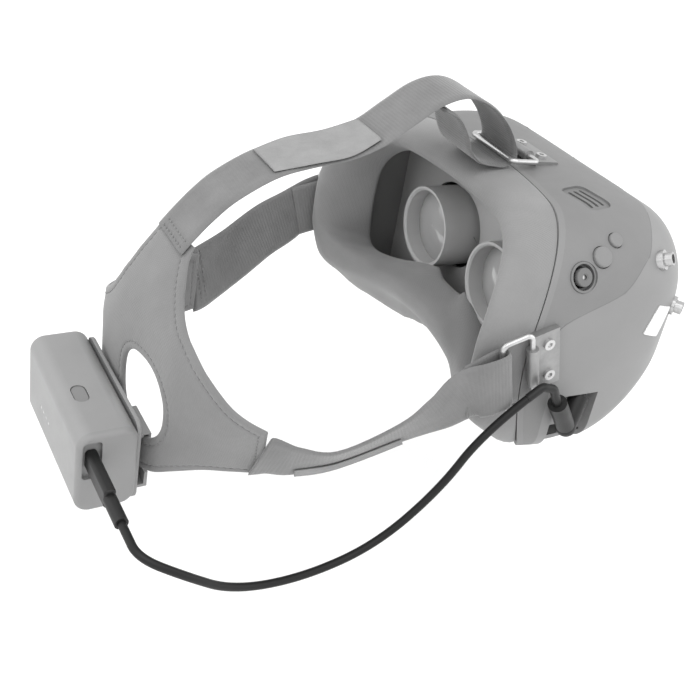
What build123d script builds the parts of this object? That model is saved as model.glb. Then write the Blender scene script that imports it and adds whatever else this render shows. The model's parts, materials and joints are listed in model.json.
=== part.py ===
from build123d import *
import os
from math import cos, hypot, pi, radians, sin, sqrt, tan

# Video goggles with a padded three-strap headband, a battery at the back and a power cable.
# Millimetres. +X is the wearer's left, -Y is the way the wearer looks, +Z is up.
# The origin is the middle of the face opening.

os.makedirs("parts", exist_ok=True)

# Where a primitive stands on its location: on its foot, or hung from its head
UPRIGHT = (Align.CENTER, Align.CENTER, Align.MIN)
HANGING = (Align.CENTER, Align.CENTER, Align.MAX)

# ---------------- driving dimensions ----------------
WALL = 2.2
# Outer skin sections: y, half width, top z, bottom z, top corner radius, bottom corner radius
SKIN = [
    (26, 85, 51, -51, 40, 26),
    (4, 86, 52, -54, 40, 22),
    (-18, 88, 53, -58, 39, 14),
    (-40, 89.5, 54.5, -58.5, 38, 12),
    (-64, 89.5, 55, -55, 38, 16),
    (-84, 86, 51, -44, 36, 22),
    (-98, 77, 43.5, -38, 32, 26),
    (-107, 63, 33, -28, 26, 22),
]
SKIN_END = SKIN[-1][0]
CORNER_LEAST = 1.5

# Saddle surfaces that cut the skin into housing, carrier frame and face cushion
RIM_Y = -2.0
RIM_PLAN_R = 195.0
RIM_SIDE_R = 110.0
FRAME_Y = -27.0
FRAME_T = 3.0
FRAME_PLAN_R = 221.0
FRAME_SIDE_R = 160.0
CUSHION_T = 13.0
FRAME_W = 9.0

# Nose arch sections, from the cheeks forward: y, half width, height above NOSE_Z
NOSE_Z = -60.0
NOSE = [(30, 95, 50), (-2, 84, 28), (-14, 60, 24), (-26, 34, 20), (-43, 15, 13), (-64, 10, 8)]

# Front window and intake grille
WINDOW_W, WINDOW_H, WINDOW_R, WINDOW_T = 108.0, 42.0, 16.0, 1.8
GRILLE_W, GRILLE_H, GRILLE_Z = 52.0, 9.0, -15.5
GRILLE_SLOTS, GRILLE_PITCH, GRILLE_SLOT_W = 9, 5.4, 2.6

# Control row on the wearer's right shoulder of the housing: place, lean from upright, radius
SMALL_AT, SMALL_LEAN, SMALL_R = (-75.9, -50.0, 46.0), 40.0, 3.4
LARGE_AT, LARGE_LEAN, LARGE_R = (-80.5, -41.0, 41.0), 49.8, 4.7
STICK_AT, STICK_LEAN, STICK_R = (-84.0, -30.5, 34.0), 61.2, 6.6
KEY_GAP = 0.35
KEY_PROUD = 1.5
KEY_DEPTH, KEY_FLANGE, KEY_FLANGE_T = 5.4, 0.6, 1.0
KEY_TRAVEL = 0.8
STICK_CAP_R = 4.1
STICK_STEM_R = 1.5
STICK_PIN_R, STICK_PIVOT, STICK_TOP = 0.7, -8.6, 0.9
STICK_BASE_L, STICK_BASE_W, STICK_BASE_T, STICK_BASE_LOW = 10.4, 14.2, 1.4, 4.2
STICK_POST_R, STICK_POST_L, STICK_POST_X, STICK_POST_Y = 0.6, 10.4, 8.6, 12.8
BEZEL_LIP, BEZEL_LIP_T, BEZEL_LIP_LOW = 0.4, 1.4, 1.6
PIN_CLEAR = 0.05
KEY_BOARD_AT, KEY_BOARD_LEAN = (-78.2, -47.0, 43.5), 45.0
KEY_BOARD_L, KEY_BOARD_W, KEY_BOARD_T, KEY_BOARD_LOW = 19.0, 12.0, 1.2, 3.0
KEY_PADS = [(6.0, 3.0), (-3.0, -2.9)]
KEY_POSTS = [(8.5, -4.5), (-8.5, -4.5), (-8.5, 4.5)]

# Optics
EYE_HALF = 32.0
EYE_Z = 2.0
BARREL_R, BARREL_BORE = 21.0, 19.0
BARREL_Y0, BARREL_Y1 = -66.0, -24.0
LENS_R, LENS_T = 18.9, 6.0
LENS_Y = -29.0
IPD_TRAVEL = 3.0
EYE_PLATE_Y, EYE_PLATE_T = -44.0, 2.4
SCREEN_W, SCREEN_H, SCREEN_T = 30.0, 24.0, 2.4
KNOB_R, KNOB_H, KNOB_STEM = 5.0, 4.0, 2.4
KNOB_Y, KNOB_TOP, KNOB_RISE = -55.0, -58.6, 46.3
KNOB_CUT_Z, KNOB_CUT_H = -64.0, 24.0

# Board and fan
BOARD_W, BOARD_H, BOARD_T, BOARD_Y, BOARD_Z = 124.0, 56.0, 1.6, -80.0, 2.0
BOARD_HOLE_X, BOARD_HOLE_Z, BOARD_POST_R = 57.0, 23.0, 3.2
FAN_SIZE, FAN_DEPTH, FAN_BORE = 34.0, 9.0, 15.5
FAN_Y = -100.3
FAN_HUB_R, FAN_TIP_R, FAN_BLADES = 6.5, 14.8, 7
FAN_AXLE_R = 1.2
BLADE_W, BLADE_T, BLADE_PITCH, BLADE_ROOT = 5.6, 0.8, 35.0, 0.9

# Antenna connectors: positions on the wearer's right, mirrored to the left
SMA_UPPER = (-81.2, -76.0, 36.8)
SMA_LOWER = (-79.8, -94.0, 11.0)
SMA_UPPER_DIR = (-0.72, -0.5, 0.48)
SMA_LOWER_DIR = (-0.82, -0.57, 0.0)
SMA_R, SMA_BORE, SMA_L = 3.1, 2.2, 5.5
SMA_NUT_R, SMA_NUT_H, SMA_NUT_Z = 4.6, 3.4, -1.4
SMA_IN, SMA_MOUTH, SMA_PIN_R = 4.5, 5.0, 0.5

# Power jack bore and label on the wearer's right
JACK_BORE = 2.9
LABEL = (-86.0, -80.5, 8.0)
LABEL_W, LABEL_H, LABEL_T, LABEL_TURN = 13.0, 15.0, 0.4, 20.0
VENT = (-50.0, -51.0)
VENT_W, VENT_H, VENT_TURN, VENT_SINK = 22.0, 14.0, 7.0, 0.9

# Strap rings and the screwed tabs that hold them
RING_WIRE = 1.25
RING_W, RING_H, RING_CORNER = 36.0, 15.0, 3.0
RING_TILT = 17.0
SIDE_RING = (91.6, -9.5, -4.0)
TOP_RING = (0.0, -46.0, 58.2)
TOP_RING_RISE = 4.0
TAB_W, TAB_FRONT, TAB_BACK, TAB_FACE = 30.0, 14.5, 1.5, -0.8
KNUCKLE_R, KNUCKLE_L = 2.7, 20.0
SCREW_R, SCREW_H, SCREW_PITCH, SCREW_IN = 2.6, 1.3, 17.0, 8.6
SCREW_SHANK, SCREW_SHANK_L, SOCKET_R = 1.2, 6.0, 1.2

# Webbing
WEB_T = 1.8
LOOP_NEAR, LOOP_FAR, LOOP_GAP = 11.2, 25.0, 4.4
TOP_WEB_W = 31.0
TAB_PAD_T = 1.6
# Side strap stations: centre, direction across the webbing (towards its upper edge), width
RIGHT_WEB = [
    ((-91.6, 13.8, -11.1), (0.0, 0.29, 0.957), 30.0),
    ((-89.8, 24.0, -18.0), (-0.12, 0.29, 0.95), 31.0),
    ((-85.0, 45.0, -33.0), (-0.36, 0.20, 0.91), 33.0),
    ((-79.5, 74.0, -46.5), (-0.50, 0.27, 0.82), 35.0),
    ((-69.6, 96.0, -48.4), (-0.20, 0.08, 0.98), 34.0),
    ((-67.3, 101.2, -48.6), (-0.02, 0.0, 1.0), 33.0),
]
LEFT_WEB = [
    ((91.6, 13.8, -11.1), (0.0, 0.29, 0.957), 30.0),
    ((90.0, 24.0, -14.5), (0.03, 0.27, 0.963), 31.0),
    ((86.0, 43.0, -22.5), (0.05, 0.17, 0.984), 33.0),
    ((80.0, 62.0, -32.5), (0.05, 0.10, 0.99), 35.0),
    ((71.2, 85.2, -40.4), (0.02, 0.0, 1.0), 36.0),
]
# Top strap middle line, side view (y, z): doubled-back tail, fold under the ring's free bar,
# then up over the head to the rear panel
TOP_WEB = [
    (9.0, 82.6), (1.5, 79.2), (-4.5, 72.0), (-9.0, 63.5), (-15.0, 58.2), (-23.0, 56.1),
    (-29.5, 55.7), (-34.4, 59.6), (-32.6, 66.0), (-25.5, 76.0), (-15.0, 84.2), (-2.0, 88.5),
    (11.0, 85.5), (24.0, 77.0), (37.0, 68.0), (52.0, 62.0), (70.0, 59.0), (86.0, 55.0),
    (102.0, 44.5), (113.6, 33.4),
]
TOP_PAD_FROM, TOP_PAD_TO = 14, 18
PAD_GAP = WEB_T / 2 + TAB_PAD_T / 2 + 0.05

# Rear panel
PANEL_T = 2.4
PANEL_PLAN = [
    (-67.2, 100.5), (-58.0, 119.0), (-38.0, 136.5), (0.0, 143.2),
    (38.0, 138.5), (58.0, 118.0), (71.0, 84.0),
]
PANEL_FRONT = [
    (-74.0, -29.0), (-66.0, -16.0), (-54.0, -4.0), (-36.0, 4.0), (-22.0, 7.0),
    (18.0, 6.0), (28.0, -12.0), (44.0, -21.0), (75.0, -24.0),
    (75.0, -58.0), (52.0, -66.0), (34.0, -78.0), (0.0, -84.0), (-34.0, -80.0),
    (-56.0, -70.0), (-74.0, -64.0),
]
PANEL_LEG_W = 42.0
PANEL_LEG = [(114.6, 32.4), (124.0, 22.5), (133.0, 11.5), (139.5, 1.0), (142.4, -7.0)]
PANEL_HOLE, PANEL_HOLE_W, PANEL_HOLE_H = (-19.5, -41.5), 17.8, 19.5

# Battery
BAT_POS = (-1.0, 162.2, -64.0)
BAT_TILT, BAT_YAW = -4.0, 3.0
BAT_L, BAT_T, BAT_H = 76.0, 27.0, 43.0
BAT_R = 7.0
BAT_WALL = 1.8
CAP_L = 3.0
CELL_R, CELL_L, CELL_PITCH, CELL_Y, CELL_X0 = 9.1, 65.0, 19.2, -1.4, -28.9
BAT_KEY_X, BAT_KEY_Y, BAT_KEY_L, BAT_KEY_W = -9.0, 4.0, 11.0, 6.0
LED_X, LED_Z, LED_PITCH, LED_R = 10.0, -4.0, 4.0, 0.9
USB_W, USB_H, USB_D = 8.4, 20.0, 2.4
USB_Y, USB_Z = 7.0, 8.0
USB_SHELL_Y, USB_SHELL_Z, USB_SHELL_L, USB_SHELL_T = 3.2, 8.9, 6.5, 0.35
CLIP_W, CLIP_LOW, CLIP_HIGH, CLIP_T = 70.0, -24.0, 20.0, 2.0
HOOK_X, HOOK_W, HOOK_REACH, HOOK_T, HOOK_UPPER, HOOK_LIP = -17.5, 20.0, 7.4, 1.6, 7.6, 8.0

# Cable: battery end first. The first two points lie on the plug's own line.
CABLE_R = 1.85
CABLE_START, CABLE_TURN = 67.0, 95.0
CABLE = [
    (-103.5, 147.5, -70.5), (-100.0, 124.0, -89.0), (-97.0, 90.0, -94.5), (-95.5, 55.0, -86.5),
    (-96.4, 28.0, -60.0), (-98.2, 14.0, -31.0), (-98.2, -5.5, -15.7),
]
BEND_SHARE = 0.45
USB_PLUG_T, USB_PLUG_W, USB_PLUG_R, USB_PLUG_L = 5.2, 10.0, 2.0, 26.0
USB_BOOT_R, USB_BOOT_L, USB_BOOT_IN = 3.0, 9.0, 5.5
BORE_GAP = 0.12
# Right-angle power plug: jack mouth, elbow, boot top and the moulded tail over to the cable
DC_MOUTH = (-86.5, -47.5, -29.0)
DC_ELBOW = (-91.8, -39.6, -41.5)
DC_TOP = (-97.2, -24.5, -22.0)
DC_TAIL = [(-97.2, -24.5, -22.0), (-98.4, -18.5, -12.5), (-98.3, -12.0, -10.6), (-98.2, -5.7, -15.54)]
DC_TAIL_R, DC_TAIL_BEND = 2.0, 3.0
DC_HEAD_R, DC_ELBOW_R, DC_TOP_R = 4.6, 4.9, 4.4
DC_PIN_R, DC_PIN_L, DC_BORE_L = 2.75, 8.5, 10.0
JACK_BOX = ((-95.0, -56.0, -50.0), (-76.5, -32.0, -13.0))
POCKET = ((-99.0, -55.0, -62.0), (-79.5, -32.0, -25.8))
# Room left in the eyepiece plate for the control row and the power jack
PLATE_CUTS = [((-100.0, -60.0, 16.0), (-56.0, -30.0, 70.0)), ((-100.0, -60.0, -60.0), (-74.0, -30.0, -9.0))]


# ---------------- shared shapes ----------------
def skin_section(row, inset):
    """One cross-section of the outer skin, moved in by the wall."""
    y, half, top, bottom, r_top, r_bottom = row
    with BuildSketch(Plane.XZ.offset(-y)) as outline:
        with Locations((0, (top + bottom) / 2)):
            Rectangle(2 * (half - inset), top - bottom - 2 * inset)
        fillet(outline.vertices().group_by(Axis.Y)[-1], r_top - inset)
        fillet(outline.vertices().group_by(Axis.Y)[0], max(r_bottom - inset, CORNER_LEAST))
    return outline.sketch.face()


def skin_loft(rows, inset):
    """The outer skin, or the space inside it, as one lofted solid."""
    with BuildPart() as body:
        loft([skin_section(row, inset) for row in rows])
    return body.part


def behind_saddle(y0, plan_r, side_r):
    """Everything on the wearer's side of a saddle that wraps round a head."""
    reach = 70.0
    axis_y = y0 + plan_r
    edge_y = y0 - (side_r - sqrt(side_r**2 - reach**2))
    with BuildPart() as region:
        with BuildSketch(Plane.YZ):
            with BuildLine():
                ThreePointArc((edge_y, -reach), (y0, 0), (edge_y, reach))
                Polyline((edge_y, reach), (axis_y, reach), (axis_y, -reach), (edge_y, -reach))
            make_face()
        revolve(axis=Axis((0, axis_y, 0), (0, 0, 1)))
    return region.part


def nose_arch(grow):
    """The arch cut upwards for the nose, larger by grow all round."""
    with BuildPart() as arch:
        for i, (y, half, high) in enumerate(NOSE):
            with BuildSketch(Plane.XZ.offset(-y + (grow if i else 0))):
                with Locations((0, NOSE_Z)):
                    Ellipse(half + grow, high + grow)
        loft(ruled=True)
    return arch.part


def ribbon_edges(points, thick):
    """The two edges of an even ribbon drawn about a smooth line of points."""
    upper = []
    lower = []
    last = len(points) - 1
    for i, (u, v) in enumerate(points):
        u0, v0 = points[max(i - 1, 0)]
        u1, v1 = points[min(i + 1, last)]
        run = hypot(u1 - u0, v1 - v0)
        nu = -(v1 - v0) / run * thick / 2
        nv = (u1 - u0) / run * thick / 2
        upper.append((u + nu, v + nv))
        lower.append((u - nu, v - nv))
    return upper, lower


def ribbon(points, thick, width):
    """A smooth side-view line (y, z) given an even thickness and made width wide along X."""
    upper, lower = ribbon_edges(points, thick)
    with BuildPart() as band:
        with BuildSketch(Plane.YZ):
            with BuildLine():
                Spline(*upper)
                Line(upper[-1], lower[-1])
                Spline(*reversed(lower))
                Line(lower[0], upper[0])
            make_face()
        extrude(amount=width / 2, both=True)
    return band.part


def side_web(stations, thick, lift):
    """Webbing that turns as it runs, lofted from ring to rear panel, moved out by lift."""
    last = len(stations) - 1
    sections = []
    for i, (centre, across, width) in enumerate(stations):
        ahead = Vector(*stations[min(i + 1, last)][0]) - Vector(*stations[max(i - 1, 0)][0])
        side = Plane(origin=centre, x_dir=Vector(*across), z_dir=ahead)
        with BuildSketch(side) as section:
            with Locations((0, lift)):
                Rectangle(width, thick)
        sections.append(section.sketch.face())
    with BuildPart() as web:
        loft(sections)
    return web.part


def tube(points, radius):
    """A round tube on straight runs joined by tangent arcs."""
    pts = [Vector(*p) for p in points]
    runs = [(b - a).length for a, b in zip(pts, pts[1:])]
    radii = []
    for i in range(1, len(pts) - 1):
        turn = radians((pts[i] - pts[i - 1]).get_angle(pts[i + 1] - pts[i]))
        radii.append(BEND_SHARE * min(runs[i - 1], runs[i]) / tan(turn / 2))
    with BuildPart() as body:
        with BuildLine() as path:
            FilletPolyline(*pts, radius=radii)
        with BuildSketch(Plane(origin=pts[0], z_dir=pts[1] - pts[0])):
            Circle(radius)
        sweep()
    length = sum(edge.length for edge in path.line.edges())
    return body.part, radii, length


def wire_ring(hinge_len, reach, wire, corner):
    """A closed wire loop, its hinge bar on the local X axis and its free bar at local +Y."""
    with BuildSketch() as flat:
        with Locations((0, reach / 2)):
            RectangleRounded(hinge_len, reach, corner)
    path = flat.sketch.face().outer_wire()
    with BuildPart() as ring:
        with BuildSketch(Plane(origin=path @ 0, z_dir=path % 0)):
            Circle(wire)
        sweep(path=path)
    return ring.part


# Local frames: a ring's hinge line is its X, the way its webbing pulls is its Y
def side_frame(side):
    """Ring frame on one side of the goggles; side is -1 for the wearer's right."""
    tilt = radians(RING_TILT)
    x, y, z = SIDE_RING
    return Plane(
        origin=(side * x, y, z),
        x_dir=(0, -side * sin(tilt), -side * cos(tilt)),
        z_dir=(side, 0, 0),
    )


def top_frame():
    """Ring frame on top, its free bar lying back over the housing."""
    rise = radians(TOP_RING_RISE)
    return Plane(origin=TOP_RING, x_dir=(1, 0, 0), z_dir=(0, -sin(rise), cos(rise)))


def rod(start, end, radius):
    """A straight round bar between two points, added to the part being built."""
    a = Vector(*start)
    b = Vector(*end)
    with Locations(Plane(origin=(a + b) / 2, z_dir=b - a)):
        Cylinder(radius, (b - a).length)


def box_between(low, high, mode=Mode.ADD):
    """A box given by two opposite corners."""
    size = Vector(*high) - Vector(*low)
    with Locations((Vector(*high) + Vector(*low)) / 2):
        Box(size.X, size.Y, size.Z, mode=mode)


def deck_plane(place, lean_deg):
    """Plane on the right shoulder of the housing, facing out at one lean from upright."""
    lean = radians(lean_deg)
    return Plane(origin=place, x_dir=(0, 1, 0), z_dir=(-sin(lean), 0, cos(lean)))


# ---------------- housing ----------------
outer = skin_loft(SKIN, 0)
inner_rows = [*SKIN[:-1], (SKIN_END + WALL, *SKIN[-1][1:])]
inner = skin_loft(inner_rows, WALL)
rear_of_housing = behind_saddle(FRAME_Y - FRAME_T, FRAME_PLAN_R, FRAME_SIDE_R)
rear_of_frame = behind_saddle(FRAME_Y, FRAME_PLAN_R - FRAME_T, FRAME_SIDE_R)
rear_of_rim = behind_saddle(RIM_Y, RIM_PLAN_R, RIM_SIDE_R)
arch = nose_arch(0)
arch_wall = nose_arch(WALL)

with BuildPart() as cavity:
    add(inner)
    add(arch_wall, mode=Mode.SUBTRACT)
    add(rear_of_housing, mode=Mode.SUBTRACT)

with BuildPart() as wall:
    add(outer)
    add(arch, mode=Mode.SUBTRACT)
    add(rear_of_housing, mode=Mode.SUBTRACT)
    add(cavity.part, mode=Mode.SUBTRACT)

# The line where the smooth front shell meets the middle housing
SEAM = [(-68.0, 80.0), (-67.0, 40.0), (-53.0, 26.0), (-31.0, 18.0), (-21.0, 12.0), (-26.0, -18.0),
        (-28.0, -70.0), (60.0, -70.0), (60.0, 80.0)]
SEAM_ARC_R, SEAM_ARC_Y, SEAM_ARC_Z = 152.0, 60.0, 39.0
with BuildPart() as rear_zone:
    with BuildSketch(Plane.YZ):
        with BuildLine():
            Polyline(*SEAM, close=True)
        make_face()
    extrude(amount=110, both=True)
    with Locations((0, SEAM_ARC_Y, SEAM_ARC_Z)):
        Cylinder(SEAM_ARC_R, 50, align=UPRIGHT)

vent_way = radians(VENT_TURN)
slot_plane = Plane(origin=(VENT[0], VENT[1], 60.0), x_dir=(cos(vent_way), sin(vent_way), 0))
screw_at = [(SCREW_PITCH / 2, -SCREW_IN), (-SCREW_PITCH / 2, -SCREW_IN)]
tab_frames = [side_frame(-1), side_frame(1), top_frame()]
small_plane = deck_plane(SMALL_AT, SMALL_LEAN)
large_plane = deck_plane(LARGE_AT, LARGE_LEAN)
stick_plane = deck_plane(STICK_AT, STICK_LEAN)
key_places = [(small_plane, SMALL_R), (large_plane, LARGE_R), (stick_plane, STICK_R)]
knob_places = [-EYE_HALF - 8.0, EYE_HALF + 8.0]
knob_slot = 2 * (KNOB_STEM + IPD_TRAVEL + 1.0)

with BuildPart() as rear_shell:
    add(wall.part)
    add(rear_zone.part, mode=Mode.INTERSECT)
    for plane, radius in key_places:
        with Locations(plane):
            Cylinder(radius + KEY_GAP, 14, mode=Mode.SUBTRACT)
    with BuildSketch(slot_plane):
        RectangleRounded(VENT_W, VENT_H, 4)
    extrude(amount=-20, mode=Mode.SUBTRACT)
    for frame in tab_frames:
        with BuildSketch(frame):
            with Locations(*screw_at):
                Circle(SCREW_SHANK + PIN_CLEAR)
        extrude(amount=-14, mode=Mode.SUBTRACT)
    for x in knob_places:
        with BuildSketch(Plane.XY.offset(KNOB_CUT_Z)):
            with Locations((x, KNOB_Y)):
                SlotOverall(knob_slot, 2 * KNOB_STEM + 1)
        extrude(amount=KNOB_CUT_H, mode=Mode.SUBTRACT)
rear_shell.part.label = "rear_shell"

sma_right = [(SMA_UPPER, SMA_UPPER_DIR), (SMA_LOWER, SMA_LOWER_DIR)]
sma_all = [*sma_right, *[((-p[0], p[1], p[2]), (-d[0], d[1], d[2])) for p, d in sma_right]]

jack_way = (Vector(*DC_MOUTH) - Vector(*DC_ELBOW)).normalized()
jack_plane = Plane(origin=Vector(*DC_MOUTH) + jack_way * DC_BORE_L / 2, z_dir=jack_way)

with BuildPart() as board_posts:
    for x in (-BOARD_HOLE_X, BOARD_HOLE_X):
        for z in (BOARD_Z - BOARD_HOLE_Z, BOARD_Z + BOARD_HOLE_Z):
            rod((x, SKIN_END, z), (x, BOARD_Y - BOARD_T / 2, z), BOARD_POST_R)
    add(inner, mode=Mode.INTERSECT)

with BuildPart() as front_shell:
    add(wall.part)
    add(rear_zone.part, mode=Mode.SUBTRACT)
    for place, way in sma_all:
        with Locations(Plane(origin=place, z_dir=way)):
            Cylinder(SMA_R + PIN_CLEAR, 24, mode=Mode.SUBTRACT)
    box_between(*POCKET, mode=Mode.SUBTRACT)
    with Locations(jack_plane):
        Cylinder(JACK_BORE, DC_BORE_L + 2, mode=Mode.SUBTRACT)
    with BuildSketch(Plane.XZ.offset(-SKIN_END)):
        with Locations((0, GRILLE_Z)):
            Rectangle(GRILLE_W - 4, GRILLE_H - 3)
    extrude(amount=-6, mode=Mode.SUBTRACT)
    for frame in tab_frames:
        with BuildSketch(frame):
            with Locations(*screw_at):
                Circle(SCREW_SHANK + PIN_CLEAR)
        extrude(amount=-14, mode=Mode.SUBTRACT)
    for x in knob_places:
        with BuildSketch(Plane.XY.offset(KNOB_CUT_Z)):
            with Locations((x, KNOB_Y)):
                SlotOverall(knob_slot, 2 * KNOB_STEM + 1)
        extrude(amount=KNOB_CUT_H, mode=Mode.SUBTRACT)
    add(board_posts.part)
front_shell.part.label = "front_shell"

with BuildPart() as front_window:
    with BuildSketch(Plane.XZ.offset(-SKIN_END)):
        with Locations((0, 2.5)):
            RectangleRounded(WINDOW_W, WINDOW_H, WINDOW_R)
        with Locations((0, GRILLE_Z)):
            Rectangle(GRILLE_W + 0.4, GRILLE_H + 0.4, mode=Mode.SUBTRACT)
    extrude(amount=WINDOW_T)
    fillet(front_window.faces().sort_by(Axis.Y)[0].outer_wire().edges(), 1.2)
front_window.part.label = "front_window"

with BuildPart() as intake_grille:
    with BuildSketch(Plane.XZ.offset(-SKIN_END)):
        with Locations((0, GRILLE_Z)):
            RectangleRounded(GRILLE_W, GRILLE_H, 2)
            with GridLocations(GRILLE_PITCH, 0, GRILLE_SLOTS, 1):
                SlotOverall(GRILLE_H - 3.4, GRILLE_SLOT_W, rotation=90, mode=Mode.SUBTRACT)
    extrude(amount=WINDOW_T)
intake_grille.part.label = "intake_grille"

with BuildPart() as vent_insert:
    add(skin_loft(SKIN, VENT_SINK))
    add(inner, mode=Mode.SUBTRACT)
    with BuildSketch(slot_plane):
        RectangleRounded(VENT_W - 0.3, VENT_H - 0.3, 3.8)
    extrude(amount=-20, mode=Mode.INTERSECT)
    with BuildSketch(slot_plane):
        with GridLocations(0, 3.4, 1, 3):
            SlotOverall(VENT_W - 6, 1.6)
    extrude(amount=-20, mode=Mode.SUBTRACT)
vent_insert.part.label = "vent_insert"

# ---------------- face side ----------------
with BuildPart() as carrier_frame:
    add(outer)
    add(arch, mode=Mode.SUBTRACT)
    add(rear_of_frame, mode=Mode.SUBTRACT)
    add(rear_of_housing, mode=Mode.INTERSECT)
    add(skin_loft(SKIN, FRAME_W), mode=Mode.SUBTRACT)
    add(nose_arch(FRAME_W), mode=Mode.SUBTRACT)
with BuildPart() as carrier_bridge:
    add(outer)
    add(arch, mode=Mode.SUBTRACT)
    add(rear_of_frame, mode=Mode.SUBTRACT)
    add(rear_of_housing, mode=Mode.INTERSECT)
    add(nose_arch(FRAME_W), mode=Mode.INTERSECT)
carrier_frame.part += carrier_bridge.part
carrier_frame.part.label = "carrier_frame"

with BuildPart() as cushion_bridge:
    add(outer)
    add(rear_of_rim, mode=Mode.SUBTRACT)
    add(rear_of_frame, mode=Mode.INTERSECT)
    add(nose_arch(CUSHION_T), mode=Mode.INTERSECT)
with BuildPart() as face_cushion:
    add(outer)
    add(rear_of_rim, mode=Mode.SUBTRACT)
    add(rear_of_frame, mode=Mode.INTERSECT)
    add(skin_loft(SKIN, CUSHION_T), mode=Mode.SUBTRACT)
    add(cushion_bridge.part)
    add(arch, mode=Mode.SUBTRACT)
face_cushion.part.label = "face_cushion"

with BuildPart() as eye_plate:
    add(cavity.part)
    with Locations((0, EYE_PLATE_Y, 0)):
        Box(200, EYE_PLATE_T, 130, mode=Mode.INTERSECT)
    with BuildSketch(Plane.XZ.offset(-EYE_PLATE_Y)):
        with Locations((-EYE_HALF, EYE_Z), (EYE_HALF, EYE_Z)):
            SlotOverall(2 * (BARREL_R + IPD_TRAVEL + 0.6), 2 * BARREL_R + 0.8)
    extrude(amount=EYE_PLATE_T, both=True, mode=Mode.SUBTRACT)
    for low, high in PLATE_CUTS:
        box_between(low, high, mode=Mode.SUBTRACT)
eye_plate.part.label = "eye_plate"


def lens_barrel(x):
    """Tube that holds one lens and screen, with its slide stem down through the housing."""
    with BuildPart() as barrel:
        with BuildSketch(Plane.XZ.offset(-BARREL_Y1)):
            with Locations((x, EYE_Z)):
                Circle(BARREL_R)
        extrude(amount=BARREL_Y1 - BARREL_Y0)
        with BuildSketch(Plane.XZ.offset(-BARREL_Y1)):
            with Locations((x, EYE_Z)):
                Circle(BARREL_BORE)
        extrude(amount=BARREL_Y1 - BARREL_Y0 - SCREEN_T, mode=Mode.SUBTRACT)
        with BuildSketch(Plane.XZ.offset(-BARREL_Y0)):
            with Locations((x, EYE_Z)):
                Rectangle(SCREEN_W - 4, SCREEN_H - 4)
        extrude(amount=-2 * SCREEN_T, mode=Mode.SUBTRACT)
        chamfer(barrel.edges().filter_by(GeomType.CIRCLE).sort_by(Axis.Y)[-1], 0.8)
    return barrel.part


def lens_disc(x):
    """One eyepiece lens, domed towards the eye."""
    dome = LENS_R * 2.6
    sag = dome - sqrt(dome**2 - LENS_R**2)
    with BuildPart() as lens:
        with BuildSketch(Plane.XY.offset(EYE_Z)):
            with BuildLine():
                Polyline((x, LENS_Y - LENS_T), (x + LENS_R, LENS_Y - LENS_T), (x + LENS_R, LENS_Y - sag))
                RadiusArc((x + LENS_R, LENS_Y - sag), (x, LENS_Y), -dome)
                Line((x, LENS_Y), (x, LENS_Y - LENS_T))
            make_face()
        revolve(axis=Axis((x, 0, EYE_Z), (0, 1, 0)))
    return lens.part


def eye_screen(x):
    """Flat display behind one lens."""
    with BuildPart() as screen:
        with Locations((x, BARREL_Y0 - SCREEN_T / 2, EYE_Z)):
            Box(SCREEN_W, SCREEN_T, SCREEN_H)
    return screen.part


def slide_knob(x):
    """Eye spacing knob under the housing with the stem and foot that carry the barrel."""
    eye = x - 8.0 if x > 0 else x + 8.0
    with BuildPart() as knob:
        with Locations((x, KNOB_Y, KNOB_TOP - KNOB_H)):
            Cylinder(KNOB_R, KNOB_H, align=UPRIGHT)
        fillet(knob.edges().filter_by(GeomType.CIRCLE).sort_by(Axis.Z)[0], 1)
        with Locations((x, KNOB_Y, KNOB_TOP)):
            Cylinder(KNOB_STEM, KNOB_RISE, align=UPRIGHT)
        with BuildSketch(Plane.XZ.offset(-KNOB_Y - 4)):
            with Locations((eye, EYE_Z)):
                Circle(BARREL_R)
        extrude(amount=8, mode=Mode.SUBTRACT)
    return knob.part


with BuildPart() as right_barrel:
    add(lens_barrel(-EYE_HALF))
right_barrel.part.label = "right_barrel"
with BuildPart() as left_barrel:
    add(lens_barrel(EYE_HALF))
left_barrel.part.label = "left_barrel"
with BuildPart() as right_lens:
    add(lens_disc(-EYE_HALF))
right_lens.part.label = "right_lens"
with BuildPart() as left_lens:
    add(lens_disc(EYE_HALF))
left_lens.part.label = "left_lens"
with BuildPart() as right_screen:
    add(eye_screen(-EYE_HALF))
right_screen.part.label = "right_screen"
with BuildPart() as left_screen:
    add(eye_screen(EYE_HALF))
left_screen.part.label = "left_screen"
with BuildPart() as right_knob:
    add(slide_knob(knob_places[0]))
right_knob.part.label = "right_knob"
with BuildPart() as left_knob:
    add(slide_knob(knob_places[1]))
left_knob.part.label = "left_knob"

# ---------------- board and fan ----------------
with BuildPart() as main_board:
    with Locations((0, BOARD_Y, BOARD_Z)):
        Box(BOARD_W, BOARD_T, BOARD_H)
    with Locations((-30, BOARD_Y + 1.8, 8), (30, BOARD_Y + 1.8, 8), (0, BOARD_Y + 1.8, -8)):
        Box(16, 2, 16)
    with BuildSketch(Plane.XZ.offset(-BOARD_Y - 3)):
        with Locations((0, BOARD_Z)):
            with GridLocations(2 * BOARD_HOLE_X, 2 * BOARD_HOLE_Z, 2, 2):
                Circle(1.6)
    extrude(amount=6, mode=Mode.SUBTRACT)
main_board.part.label = "main_board"

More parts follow.
